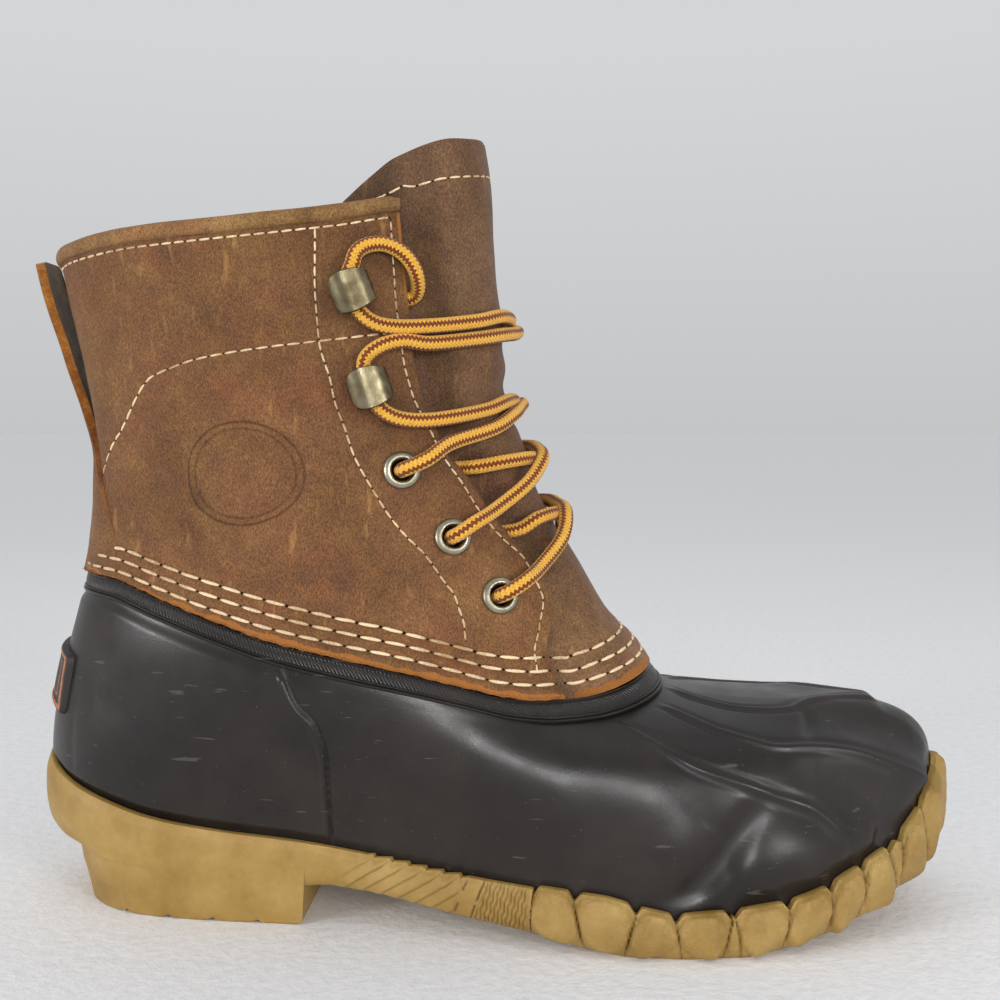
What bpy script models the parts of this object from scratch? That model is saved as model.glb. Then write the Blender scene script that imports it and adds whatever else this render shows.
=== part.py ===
# Duck boot, left: a leather shaft on a rubber shell with a gum outsole.
# +X runs from heel to toe, +Z up, the medial (inner) side is -Y. Metres.
# The origin is on the floor under the middle of the heel block.
import bpy
import bmesh
import math
from mathutils import Vector

for old in list(bpy.data.objects):
    bpy.data.objects.remove(old, do_unlink=True)

# Driving sizes
SOLE_LENGTH = 0.2965
BALL_WIDTH = 0.1095
COLLAR_HEIGHT = 0.225
HEEL_SEAT = 0.057
GAP = 0.0003

# Sole
FOXING_THICKNESS = 0.0031
SOLE_FLOOR = 0.0050
HEEL_BLOCK_BACK = 0.0115
HEEL_BLOCK_FRONT = 0.094
HEEL_BLOCK_RAKE = 0.0038
HEEL_BLOCK_WIDTH_SHARE = 1.0
FOREFOOT_FLAT = 0.0009
LUG_GROOVE_DEPTH = 0.0016
LUG_GROOVE_WIDTH = 0.0030
HEEL_GROOVES = 4
HEEL_GROOVE_START = -0.022
HEEL_GROOVE_PITCH = 0.0155
FOREFOOT_GROOVES = 7
FOREFOOT_GROOVE_START = 0.112
FOREFOOT_GROOVE_PITCH = 0.0150

# Walls
RUBBER_WALL = 0.0024
BAND_HEIGHT = 0.0065
BAND_RELIEF = 0.0013
BAND_DEPTH = 0.0030
COUNTER_STEP = 0.0008
RIDGE_RELIEF = 0.0018
LEATHER_WALL = 0.0020
TONGUE_WALL = 0.0018
TONGUE_TUCK = LEATHER_WALL + 0.0005
LACE_DIAMETER = 0.0046
TONGUE_SINK = LACE_DIAMETER + 0.0009
INSOLE_THICKNESS = 0.0040
INSOLE_CLEARANCE = 0.0006

# Collar, strap, plate and hardware
BINDING_THICKNESS = 0.0042
BINDING_HEIGHT = 0.0052
STRAP_WIDTH = 0.017
STRAP_THICKNESS = 0.0022
PLATE_LOOP_SHARE = 0.110
PLATE_THICKNESS = 0.0016
EYELET_FLANGE = 0.0114
EYELET_HOLE = 0.0066
EYELET_BARREL = 0.0078
EYELET_FLANGE_THICKNESS = 0.0011
HOOK_WIDTH = 0.0095
HOOK_LENGTH = 0.0115
HOOK_METAL = 0.0011
HOOK_RISE = 0.0073

# Outline of the sole, heel to toe. Shares: x of SOLE_LENGTH, widths of BALL_WIDTH,
# heights of COLLAR_HEIGHT.
OUTLINE_COLUMNS = ("x", "medial", "lateral", "under", "under_inset", "foxing_top")
OUTLINE = (
    (0.000, 0.000, 0.000, 0.0911, 0.0913, 0.2133),
    (0.010, 0.119, 0.119, 0.0911, 0.0776, 0.2067),
    (0.040, 0.210, 0.215, 0.0902, 0.0548, 0.1867),
    (0.091, 0.274, 0.279, 0.0867, 0.0411, 0.1644),
    (0.152, 0.301, 0.306, 0.0756, 0.0365, 0.1422),
    (0.223, 0.315, 0.315, 0.0680, 0.0365, 0.1289),
    (0.304, 0.324, 0.324, 0.0622, 0.0365, 0.1187),
    (0.384, 0.347, 0.356, 0.0533, 0.0365, 0.1058),
    (0.465, 0.393, 0.420, 0.0369, 0.0365, 0.0920),
    (0.546, 0.441, 0.484, 0.0231, 0.0365, 0.0836),
    (0.621, 0.475, 0.516, 0.0080, 0.0256, 0.0764),
    (0.695, 0.486, 0.516, 0.0000, 0.0219, 0.0569),
    (0.762, 0.466, 0.479, 0.0036, 0.0219, 0.0622),
    (0.823, 0.422, 0.416, 0.0133, 0.0292, 0.0711),
    (0.884, 0.354, 0.348, 0.0278, 0.0411, 0.1000),
    (0.938, 0.256, 0.256, 0.0500, 0.0502, 0.1310),
    (0.973, 0.158, 0.163, 0.0667, 0.0594, 0.1690),
    (0.993, 0.072, 0.076, 0.0770, 0.0639, 0.2000),
    (1.000, 0.000, 0.000, 0.0800, 0.0685, 0.2089),
)

# Rubber shell above the same stations. Turn is the share of a half turn round the shaft,
# rim its height; the rest shape the bulge between the foxing and the rim.
SHELL_COLUMNS = ("turn", "rim", "low_bulge", "low_rise", "high_reach", "high_drop")
SHELL = (
    (0.000, 0.4800, 0.0000, 0.0800, 0.0135, 0.0711),
    (0.052, 0.4796, 0.0000, 0.0800, 0.0135, 0.0711),
    (0.129, 0.4782, 0.0091, 0.0844, 0.0135, 0.0800),
    (0.207, 0.4747, 0.0183, 0.0978, 0.0118, 0.0889),
    (0.297, 0.4533, 0.0320, 0.1067, 0.0101, 0.0978),
    (0.373, 0.4280, 0.0411, 0.1067, 0.0101, 0.0978),
    (0.446, 0.4009, 0.0457, 0.1022, 0.0101, 0.0889),
    (0.513, 0.3813, 0.0457, 0.1067, 0.0101, 0.0800),
    (0.576, 0.3631, 0.0411, 0.1067, 0.0135, 0.0756),
    (0.632, 0.3436, 0.0320, 0.1111, 0.0202, 0.0667),
    (0.678, 0.3271, 0.0228, 0.1244, 0.0337, 0.0578),
    (0.723, 0.3209, 0.0183, 0.1467, 0.0540, 0.0444),
    (0.768, 0.3213, 0.0137, 0.1644, 0.0742, 0.0356),
    (0.813, 0.3249, 0.0091, 0.1822, 0.0944, 0.0267),
    (0.859, 0.3307, 0.0091, 0.1750, 0.1130, 0.0290),
    (0.903, 0.3360, 0.0000, 0.1600, 0.1250, 0.0290),
    (0.940, 0.3396, 0.0000, 0.1420, 0.1330, 0.0290),
    (0.966, 0.3413, 0.0000, 0.1300, 0.1360, 0.0290),
    (1.000, 0.3422, 0.0000, 0.1240, 0.1360, 0.0290),
)

# Level sections of the shaft. Shares: z of COLLAR_HEIGHT, back and front of SOLE_LENGTH,
# half width of BALL_WIDTH; the two fullness columns are exponents of the oval.
SHAFT_COLUMNS = ("z", "back", "front", "half_width", "front_full", "back_full")
SHAFT = (
    (0.267, 0.0135, 0.7150, 0.4384, 0.86, 0.80),
    (0.311, 0.0169, 0.6948, 0.4338, 0.86, 0.80),
    (0.342, 0.0270, 0.6762, 0.4247, 0.86, 0.80),
    (0.378, 0.0371, 0.6610, 0.4155, 0.86, 0.80),
    (0.422, 0.0472, 0.6324, 0.3973, 0.88, 0.80),
    (0.476, 0.0583, 0.6088, 0.3790, 0.90, 0.80),
    (0.524, 0.0617, 0.5868, 0.3607, 0.92, 0.80),
    (0.582, 0.0624, 0.5599, 0.3470, 0.92, 0.80),
    (0.636, 0.0634, 0.5464, 0.3379, 0.92, 0.82),
    (0.680, 0.0600, 0.5346, 0.3342, 0.92, 0.84),
    (0.733, 0.0546, 0.5194, 0.3342, 0.90, 0.86),
    (0.813, 0.0425, 0.5177, 0.3397, 0.86, 0.88),
    (0.889, 0.0297, 0.5110, 0.3489, 0.84, 0.90),
    (0.956, 0.0202, 0.5069, 0.3562, 0.84, 0.90),
    (1.022, 0.0135, 0.5042, 0.3607, 0.84, 0.90),
    (1.111, 0.0051, 0.4958, 0.3653, 0.84, 0.90),
)

# Cut edge of the facings: height share of COLLAR_HEIGHT, angle from the front in degrees.
FACING_COLUMNS = ("z", "angle")
FACING = (
    (0.300, 46.0),
    (0.383, 44.5),
    (0.419, 37.6),
    (0.460, 32.9),
    (0.507, 35.0),
    (0.556, 37.6),
    (0.622, 43.5),
    (0.653, 47.7),
    (0.733, 49.5),
    (0.796, 51.4),
    (0.900, 50.6),
    (1.050, 50.0),
)

# Top edge of the leather and of the tongue: angle from the front in degrees, height share.
COLLAR_COLUMNS = ("angle", "z")
COLLAR = (
    (0.0, 0.995),
    (50.0, 0.990),
    (69.0, 0.975),
    (100.0, 0.958),
    (124.0, 0.950),
    (146.0, 0.941),
    (180.0, 0.933),
)
TONGUE_TOP_COLUMNS = ("angle", "z")
TONGUE_TOP = (
    (0.0, 1.094),
    (19.0, 1.084),
    (32.0, 1.076),
    (49.0, 1.049),
    (57.5, 1.020),
    (68.0, 0.975),
)
TONGUE_OVERLAP = 13.0

# Ridges of the toe: station along the half loop at the rim and at the foxing (0 heel, 1 toe).
RIDGE_COLUMNS = ("rim_station", "foxing_station", "width")
RIDGES = (
    (0.90, 0.975, 0.010),
    (0.66, 0.900, 0.013),
)

# Hardware centres: angle from the front in degrees, height share of COLLAR_HEIGHT.
EYELET_COLUMNS = ("angle", "z")
EYELETS = (
    (48.9, 0.459),
    (54.7, 0.538),
    (62.4, 0.628),
)
HOOKS = (
    (64.6, 0.739),
    (66.1, 0.865),
)


def column(table, names, name):
    k = names.index(name)
    return [row[k] for row in table]


def blend(xs, ys, x):
    """Smooth curve through the rows that never overshoots them."""
    n = len(xs)
    x = min(max(x, xs[0]), xs[-1])
    d = [(ys[i + 1] - ys[i]) / (xs[i + 1] - xs[i]) for i in range(n - 1)]
    m = [d[0]] + [0.0] * (n - 2) + [d[-1]]
    for i in range(1, n - 1):
        if d[i - 1] * d[i] > 0:
            h0 = xs[i] - xs[i - 1]
            h1 = xs[i + 1] - xs[i]
            m[i] = 3 * (h0 + h1) / ((2 * h1 + h0) / d[i - 1] + (h1 + 2 * h0) / d[i])
    i = 0
    while i < n - 2 and x > xs[i + 1]:
        i += 1
    h = xs[i + 1] - xs[i]
    t = (x - xs[i]) / h
    a = (2 * t - 3) * t * t + 1
    b = ((t - 2) * t + 1) * t
    c = (3 - 2 * t) * t * t
    e = (t - 1) * t * t
    return a * ys[i] + b * h * m[i] + c * ys[i + 1] + e * h * m[i + 1]


def station(table, names, name, t, odd=False):
    """Value of one column at t (0 heel, 1 toe), mirrored past both ends."""
    ys = column(table, names, name)
    sign = -1.0 if odd else 1.0
    ys = [sign * ys[1]] + ys + [sign * ys[-2]]
    xs = [i - 1.0 for i in range(len(ys))]
    return blend(xs, ys, t * (len(table) - 1))


def step(a, b, x):
    t = min(max((x - a) / (b - a), 0.0), 1.0)
    return t * t * (3 - 2 * t)


def half_loop(s):
    """Loop share s (0 heel, 0.5 toe, 1 heel) to station t and side (-1 medial, +1 lateral)."""
    s = s % 1.0
    if s <= 0.5:
        return 2 * s, -1.0
    return 2 * (1 - s), 1.0


def outline(s, inset=0.0):
    """Plan point of the sole's outline, moved inwards by inset."""
    def raw(s):
        t, side = half_loop(s)
        x = station(OUTLINE, OUTLINE_COLUMNS, "x", t) * SOLE_LENGTH
        name = "medial" if side < 0 else "lateral"
        y = station(OUTLINE, OUTLINE_COLUMNS, name, t, odd=True) * BALL_WIDTH
        return Vector((x - HEEL_SEAT, side * y))
    p = raw(s)
    if inset:
        tangent = (raw(s + 0.004) - raw(s - 0.004)).normalized()
        p = p + Vector((-tangent.y, tangent.x)) * inset
    return p


def level(s, name):
    t, side = half_loop(s)
    return station(OUTLINE, OUTLINE_COLUMNS, name, t) * COLLAR_HEIGHT


def shaft(angle, z, offset=0.0):
    """Point of the shaft's outer face: angle in degrees from the front, medial positive."""
    def raw(angle, z):
        zs = column(SHAFT, SHAFT_COLUMNS, "z")
        row = {n: blend(zs, column(SHAFT, SHAFT_COLUMNS, n), z / COLLAR_HEIGHT)
               for n in SHAFT_COLUMNS[1:]}
        a = math.radians(angle)
        c = math.cos(a)
        sn = math.sin(a)
        back = row["back"] * SOLE_LENGTH
        front = row["front"] * SOLE_LENGTH
        front_share = (1 + c) / 2
        full = row["front_full"] * front_share + row["back_full"] * (1 - front_share)
        y = row["half_width"] * BALL_WIDTH * math.copysign(abs(sn) ** full, sn)
        return Vector(((front + back) / 2 + (front - back) / 2 * c - HEEL_SEAT, -y, z))
    p = raw(angle, z)
    if offset:
        along = raw(angle + 1.0, z) - raw(angle - 1.0, z)
        up = raw(angle, z + 0.002) - raw(angle, z - 0.002)
        p = p + up.cross(along).normalized() * offset
    return p


def rim_height(angle):
    turns = column(SHELL, SHELL_COLUMNS, "turn")
    return blend(turns, column(SHELL, SHELL_COLUMNS, "rim"), 1 - abs(angle) / 180) * COLLAR_HEIGHT


def shaft_turn(s):
    """Angle round the shaft that a loop share of the shell rises to."""
    t, side = half_loop(s)
    if t < 0.5:
        turn = station(SHELL, SHELL_COLUMNS, "turn", t, odd=True)
    else:
        mirrored = [(1 - row[0],) + row[1:] for row in SHELL]
        turn = 1 - station(mirrored, SHELL_COLUMNS, "turn", t, odd=True)
    return -side * 180 * (1 - turn)


def shell_base(s, v):
    """Smooth rubber surface between the foxing (v 0) and the band's lower edge (v 1)."""
    t, side = half_loop(s)
    get = lambda name: station(SHELL, SHELL_COLUMNS, name, t)
    angle = shaft_turn(s)
    rim = get("rim") * COLLAR_HEIGHT
    p3 = shaft(angle, rim - BAND_HEIGHT, 0.0003)
    q = outline(s, FOXING_THICKNESS + GAP)
    p0 = Vector((q.x, q.y, level(s, "foxing_top")))
    ahead = outline(s + 0.004)
    behind = outline(s - 0.004)
    tangent = (ahead - behind).normalized()
    out_low = Vector((tangent.y, -tangent.x, 0))
    side_way = shaft(angle + 1.0, rim) - shaft(angle - 1.0, rim)
    out_high = Vector((-side_way.y, side_way.x, 0)).normalized()
    to_foot = Vector((p0.x - p3.x, p0.y - p3.y, 0))
    if to_foot.length > 0.012:
        out_high = (out_high + to_foot.normalized() * step(0.012, 0.030, to_foot.length)).normalized()
    p1 = p0 + out_low * get("low_bulge") * BALL_WIDTH + Vector((0, 0, get("low_rise") * COLLAR_HEIGHT))
    p2 = p3 + out_high * get("high_reach") * SOLE_LENGTH - Vector((0, 0, get("high_drop") * COLLAR_HEIGHT))
    w = 1 - v
    return p0 * w ** 3 + p1 * 3 * w * w * v + p2 * 3 * w * v * v + p3 * v ** 3


def shell_normal(s, v):
    d = 0.004
    across = shell_base(s + d, v) - shell_base(s - d, v)
    lo = max(v - 0.02, 0.0)
    hi = min(v + 0.02, 1.0)
    up = shell_base(s, hi) - shell_base(s, lo)
    return across.cross(up).normalized()


def relief(s, v):
    """Raised ridges of the toe and the step of the heel counter."""
    t, side = half_loop(s)
    total = 0.0
    for rim_at, foxing_at, width in RIDGES:
        centre = rim_at * v + foxing_at * (1 - v)
        d = (t - centre) / (width * (2.2 + 1.2 * v))
        total += RIDGE_RELIEF * math.exp(-d * d) * step(0.02, 0.25, v) * (1 - 0.6 * step(0.7, 1.0, v))
    x = shell_base(s, v).x
    total += COUNTER_STEP * (1 - step(0.0330, 0.0350, x + 0.012 * v * v)) * step(0.0, 0.08, v)
    return total


def collection(name):
    made = bpy.data.collections.new(name)
    bpy.context.scene.collection.children.link(made)
    return made


PARTS = collection("parts")
CUTTERS = collection("cutters")


def material(name, colour, roughness, metallic=0.0):
    made = bpy.data.materials.new(name)
    made.use_nodes = True
    shader = made.node_tree.nodes["Principled BSDF"]
    shader.inputs["Base Color"].default_value = (*colour, 1)
    shader.inputs["Roughness"].default_value = roughness
    shader.inputs["Metallic"].default_value = metallic
    return made


GUM = material("gum_rubber", (0.45, 0.30, 0.10), 0.6)
RUBBER = material("dark_rubber", (0.035, 0.028, 0.025), 0.4)
LEATHER = material("brown_leather", (0.18, 0.08, 0.035), 0.7)
BINDING_LEATHER = material("binding_leather", (0.22, 0.10, 0.045), 0.65)
STRAP_LEATHER = material("strap_leather", (0.30, 0.13, 0.05), 0.8)
SOCK = material("insole_cloth", (0.20, 0.15, 0.10), 0.9)
METAL = material("antique_metal", (0.25, 0.24, 0.19), 0.4, 1.0)
CORD = material("lace_cord", (0.80, 0.40, 0.06), 0.8)


def finish(bm, name, mat, where=PARTS):
    mesh = bpy.data.meshes.new(name)
    bmesh.ops.remove_doubles(bm, verts=bm.verts, dist=0.00002)
    bmesh.ops.recalc_face_normals(bm, faces=bm.faces)
    bm.to_mesh(mesh)
    bm.free()
    made = bpy.data.objects.new(name, mesh)
    where.objects.link(made)
    mesh.materials.append(mat)
    for face in mesh.polygons:
        face.use_smooth = True
    if where is CUTTERS:
        made.hide_render = True
        made.display_type = "WIRE"
    return made


def loft(rows, name, mat, around=True, caps="", closed=False, where=PARTS):
    """Skin between unlike sections. caps 'b' and 't' close the first and last loop across."""
    bm = bmesh.new()
    grid = [[bm.verts.new(p) for p in row] for row in rows]
    n = len(rows[0])
    pairs = list(zip(grid, grid[1:])) + ([(grid[-1], grid[0])] if closed else [])
    for low, high in pairs:
        for i in range(n if around else n - 1):
            j = (i + 1) % n
            bm.faces.new((low[i], low[j], high[j], high[i]))
    if not around:
        for k in (0, n - 1):
            bm.faces.new([row[k] for row in grid])
    for flag, row in (("b", grid[0]), ("t", grid[-1])):
        if flag in caps:
            for i in range(n // 2):
                ring = [row[i], row[i + 1], row[(n - i - 1) % n], row[(n - i) % n]]
                ring = list(dict.fromkeys(ring))
                if len(ring) > 2:
                    bm.faces.new(ring)
    return finish(bm, name, mat, where)


def wall(outer, inner, name, mat, around=True):
    """Hollow wall between an outer and an inner grid, with its rims."""
    bm = bmesh.new()
    a = [[bm.verts.new(p) for p in row] for row in outer]
    b = [[bm.verts.new(p) for p in row] for row in inner]
    rows = len(a)
    n = len(a[0])
    last = n if around else n - 1
    for r in range(rows - 1):
        for i in range(last):
            j = (i + 1) % n
            bm.faces.new((a[r][i], a[r][j], a[r + 1][j], a[r + 1][i]))
            bm.faces.new((b[r][j], b[r][i], b[r + 1][i], b[r + 1][j]))
    for r in (0, rows - 1):
        for i in range(last):
            j = (i + 1) % n
            bm.faces.new((a[r][i], a[r][j], b[r][j], b[r][i]))
    if not around:
        for i in (0, n - 1):
            for r in range(rows - 1):
                bm.faces.new((a[r][i], a[r + 1][i], b[r + 1][i], b[r][i]))
    return finish(bm, name, mat)


def boolean(target, cutter, operation):
    mod = target.modifiers.new(operation.lower(), "BOOLEAN")
    mod.operation = operation
    mod.solver = "EXACT"
    mod.object = cutter


def box(name, size, centre, where=CUTTERS):
    bm = bmesh.new()
    bmesh.ops.create_cube(bm, size=1.0)
    bmesh.ops.scale(bm, vec=size, verts=bm.verts)
    bmesh.ops.translate(bm, vec=centre, verts=bm.verts)
    return finish(bm, name, GUM, where)


# Outsole: a cup whose foxing wraps the shell, with the heel block joined under it
AROUND = 72
loop = [i / AROUND for i in range(AROUND)]


def sole_row(inset, height):
    """One loop of the cup: inset and height are functions of the loop share."""
    out = []
    for s in loop:
        q = outline(s, inset(s))
        out.append(Vector((q.x, q.y, height(s))))
    return out


under = lambda s: max(level(s, "under") - FOREFOOT_FLAT, 0.0)
top = lambda s: level(s, "foxing_top")
floor = lambda s: under(s) + SOLE_FLOOR
tuck = lambda s: station(OUTLINE, OUTLINE_COLUMNS, "under_inset", half_loop(s)[0]) * BALL_WIDTH
profile = (
    (lambda s: tuck(s), under),
    (lambda s: tuck(s) * 0.42, lambda s: under(s) + (top(s) - under(s)) * 0.12),
    (lambda s: tuck(s) * 0.08, lambda s: under(s) + (top(s) - under(s)) * 0.34),
    (lambda s: 0.0, lambda s: under(s) + (top(s) - under(s)) * 0.62),
    (lambda s: 0.0006, lambda s: top(s) - 0.0018),
    (lambda s: 0.0016, lambda s: top(s)),
    (lambda s: FOXING_THICKNESS, lambda s: top(s)),
    (lambda s: FOXING_THICKNESS, floor),
)
outsole = loft([sole_row(*row) for row in profile], "outsole", GUM, caps="bt")


def block_row(rake, z):
    """Loop of the heel block: the heel's own outline squeezed between its back and front."""
    out = []
    n = 20
    stop = 0.5 * 6.2 / 18
    for side in (1, -1):
        for k in range(n + 1):
            share = k / n if side > 0 else 1 - k / n
            s = stop * share
            q = outline(s if side > 0 else -s)
            x = (q.x + HEEL_SEAT) / (outline(stop).x + HEEL_SEAT)
            back = HEEL_BLOCK_BACK + rake
            front = HEEL_BLOCK_FRONT - rake * 0.3
            width = HEEL_BLOCK_WIDTH_SHARE * (1 - 0.04 * rake / HEEL_BLOCK_RAKE)
            if not (side < 0 and k == n):
                out.append(Vector((back + (front - back) * x - HEEL_SEAT, q.y * width, z)))
    return out


block = loft(
    [block_row(HEEL_BLOCK_RAKE, 0.0), block_row(HEEL_BLOCK_RAKE * 0.5, 0.009),
     block_row(0.0, 0.0165)],
    "heel_block", GUM, caps="", where=CUTTERS)
bm = bmesh.new()
bm.from_mesh(block.data)
bmesh.ops.holes_fill(bm, edges=[e for e in bm.edges if e.is_boundary], sides=0)
bmesh.ops.recalc_face_normals(bm, faces=bm.faces)
bm.to_mesh(block.data)
bm.free()
boolean(outsole, block, "UNION")


def groove(name, x):
    cutter = box(name, (LUG_GROOVE_WIDTH, 0.2, 2 * LUG_GROOVE_DEPTH), (x, 0, 0))
    boolean(outsole, cutter, "DIFFERENCE")


for k in range(HEEL_GROOVES):
    groove("heel_groove_%d" % (k + 1), HEEL_GROOVE_START + k * HEEL_GROOVE_PITCH)
for k in range(FOREFOOT_GROOVES):
    groove("lug_groove_%d" % (k + 1), FOREFOOT_GROOVE_START + k * FOREFOOT_GROOVE_PITCH)

# Rubber shell
SHELL_ROWS = 11
outer = [[Vector((*outline(s, FOXING_THICKNESS + GAP), floor(s) + GAP)) for s in loop]]
inner = [[Vector((*outline(s, FOXING_THICKNESS + GAP + RUBBER_WALL), floor(s) + GAP)) for s in loop]]
for k in range(SHELL_ROWS):
    v = k / (SHELL_ROWS - 1)
    outer.append([shell_base(s, v) + shell_normal(s, v) * relief(s, v) for s in loop])
    inner.append([shell_base(s, v) - shell_normal(s, v) * RUBBER_WALL for s in loop])


def rim_row(offset, drop):
    out = []
    for s in loop:
        t, side = half_loop(s)
        rim = station(SHELL, SHELL_COLUMNS, "rim", t) * COLLAR_HEIGHT
        out.append(shaft(shaft_turn(s), rim - drop, offset))
    return out


for offset, drop in ((BAND_RELIEF, BAND_HEIGHT * 0.9), (BAND_RELIEF, 0.0008), (BAND_RELIEF * 0.4, 0.0)):
    outer.append(rim_row(offset, drop))
for offset, drop in ((-BAND_DEPTH, BAND_HEIGHT * 0.6), (-BAND_DEPTH, 0.0008), (-BAND_DEPTH, 0.0)):
    inner.append(rim_row(offset, drop))
shell = wall(outer, inner, "rubber_shell", RUBBER)

# Insole
insole_rows = [
    [Vector((*outline(s, FOXING_THICKNESS + GAP + RUBBER_WALL + INSOLE_CLEARANCE + extra), floor(s) + GAP + rise))
     for s in loop]
    for extra, rise in ((0.0006, 0.0), (0.0, 0.0008), (0.0, INSOLE_THICKNESS - 0.0010), (0.0010, INSOLE_THICKNESS))]
insole = loft(insole_rows, "insole", SOCK, caps="bt")


# Shaft: leather wall round the ankle, open at the collar and between the facings
def facing_angle(z):
    levels = column(FACING, FACING_COLUMNS, "z")
    return blend(levels, column(FACING, FACING_COLUMNS, "angle"), z / COLLAR_HEIGHT)


def collar_height(angle):
    angles = column(COLLAR, COLLAR_COLUMNS, "angle")
    return blend(angles, column(COLLAR, COLLAR_COLUMNS, "z"), abs(angle)) * COLLAR_HEIGHT


def shaft_place(u, w):
    """Angle and height at share u round (medial facing to lateral facing) and w up."""
    z = 0.12
    angle = 180.0
    for pass_number in range(8):
        edge = facing_angle(z)
        angle = edge + (360 - 2 * edge) * u
        fold = min(angle, 360 - angle)
        low = rim_height(fold) + GAP
        high = collar_height(fold) - BINDING_HEIGHT + 0.0010
        z = low + (high - low) * w
    return angle, z


SHAFT_AROUND = 60
SHAFT_UP = 13


def shaft_grid(offset):
    return [[shaft(*shaft_place(i / SHAFT_AROUND, k / SHAFT_UP), offset) for i in range(SHAFT_AROUND + 1)]
            for k in range(SHAFT_UP + 1)]


upper = wall(shaft_grid(0.0), shaft_grid(-LEATHER_WALL), "shaft", LEATHER, around=False)


# Tongue and vamp gusset
def tongue_top(angle):
    return blend(column(TONGUE_TOP, TONGUE_TOP_COLUMNS, "angle"), column(TONGUE_TOP, TONGUE_TOP_COLUMNS, "z"),
                 abs(angle)) * COLLAR_HEIGHT


def tongue_place(u, w):
    z = 0.12
    angle = 0.0
    for pass_number in range(8):
        edge = facing_angle(z) + TONGUE_OVERLAP
        angle = edge * (1 - 2 * u)
        low = rim_height(angle) + GAP
        z = low + (tongue_top(angle) - low) * w
    return angle, z, tongue_offset(angle, z)


def tongue_offset(angle, z):
    """The tongue stands level with the leather in the middle and dips beside the facings."""
    clear = step(0.0, 17.0, facing_angle(z) - 3.5 - abs(angle))
    deep = step(0.088, 0.112, z) * (1 - 0.5 * step(0.205, 0.222, z))
    return -(TONGUE_TUCK + TONGUE_SINK * deep) * (1 - clear)


TONGUE_AROUND = 26
TONGUE_UP = 14


def tongue_grid(extra):
    rows = []
    for k in range(TONGUE_UP + 1):
        row = []
        for i in range(TONGUE_AROUND + 1):
            angle, z, offset = tongue_place(i / TONGUE_AROUND, k / TONGUE_UP)
            row.append(shaft(angle, z, offset + extra))
        rows.append(row)
    return rows


tongue = wall(tongue_grid(0.0), tongue_grid(-TONGUE_WALL), "tongue", LEATHER, around=False)


# Collar binding: a rolled edge along the top of the leather
BINDING_AROUND = 56
BINDING_SECTION = 8
binding_rows = []
for i in range(BINDING_AROUND + 1):
    u = i / BINDING_AROUND
    angle, z = shaft_place(u, 1.0)
    z = collar_height(min(angle, 360 - angle)) - BINDING_HEIGHT / 2 + 0.0008
    centre = shaft(angle, z, -LEATHER_WALL / 2)
    across = (shaft(angle, z, 0.0) - shaft(angle, z, -LEATHER_WALL)).normalized()
    row = []
    for k in range(BINDING_SECTION):
        a = 2 * math.pi * (k + 0.5) / BINDING_SECTION
        row.append(centre + across * math.cos(a) * BINDING_THICKNESS / 2
                   + Vector((0, 0, math.sin(a) * (BINDING_HEIGHT / 2 - GAP))))
    binding_rows.append(row)
binding = loft(binding_rows, "collar_binding", BINDING_LEATHER, caps="bt")


# Back strap: a strip up the back seam that spreads at its foot, its free top standing off as
# a short pull. Width is a share of STRAP_WIDTH.
STRAP_COLUMNS = ("z", "stand_off", "width")
STRAP = (
    (0.490, 0.0006, 3.10),
    (0.547, 0.0006, 2.70),
    (0.592, 0.0006, 2.20),
    (0.636, 0.0006, 1.59),
    (0.668, 0.0008, 1.15),
    (0.700, 0.0016, 1.01),
    (0.760, 0.0030, 1.00),
    (0.840, 0.0036, 1.00),
    (0.900, 0.0036, 0.98),
    (0.925, 0.0034, 0.92),
)
STRAP_UP = 16
STRAP_ACROSS = 12


def back_at(y, z):
    """How far the shaft's back curves forward at a distance y from its middle."""
    low = 120.0
    high = 180.0
    for pass_number in range(24):
        mid = (low + high) / 2
        if abs(shaft(mid, z).y) > abs(y):
            low = mid
        else:
            high = mid
    return shaft(low, z).x


strap_rows = []
for k in range(STRAP_UP + 1):
    share = STRAP[0][0] + (STRAP[-1][0] - STRAP[0][0]) * k / STRAP_UP
    z = share * COLLAR_HEIGHT
    levels = column(STRAP, STRAP_COLUMNS, "z")
    off = blend(levels, column(STRAP, STRAP_COLUMNS, "stand_off"), share)
    half = STRAP_WIDTH / 2 * blend(levels, column(STRAP, STRAP_COLUMNS, "width"), share)
    row = []
    for layer in (0, 1):
        for j in range(STRAP_ACROSS + 1):
            y = half * (2 * j / STRAP_ACROSS - 1) * (1 if layer == 0 else -1)
            back = shaft(180.0, z)
            curl = (back_at(y, z) - back.x) * (1 - step(0.66, 0.78, share) * 0.75)
            row.append(Vector((back.x + curl - off - layer * STRAP_THICKNESS, y, z)))
    strap_rows.append(row)
strap = loft(strap_rows, "back_strap", STRAP_LEATHER, caps="bt")

# Heel plate on the back of the rubber heel
PLATE_V = (0.33, 0.65)
PLATE_ACROSS = 12
plate_out = []
plate_in = []
for k in range(5):
    v = PLATE_V[0] + (PLATE_V[1] - PLATE_V[0]) * k / 4
    out_row = []
    in_row = []
    for j in range(PLATE_ACROSS + 1):
        s = (j / PLATE_ACROSS - 0.5) * PLATE_LOOP_SHARE
        n = shell_normal(s, v)
        base = shell_base(s, v) + n * (relief(s, v) + GAP)
        out_row.append(base + n * PLATE_THICKNESS)
        in_row.append(base + n * 0.0)
    plate_out.append(out_row)
    plate_in.append(in_row)
plate = wall(plate_out, plate_in, "heel_plate", RUBBER, around=False)


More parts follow.
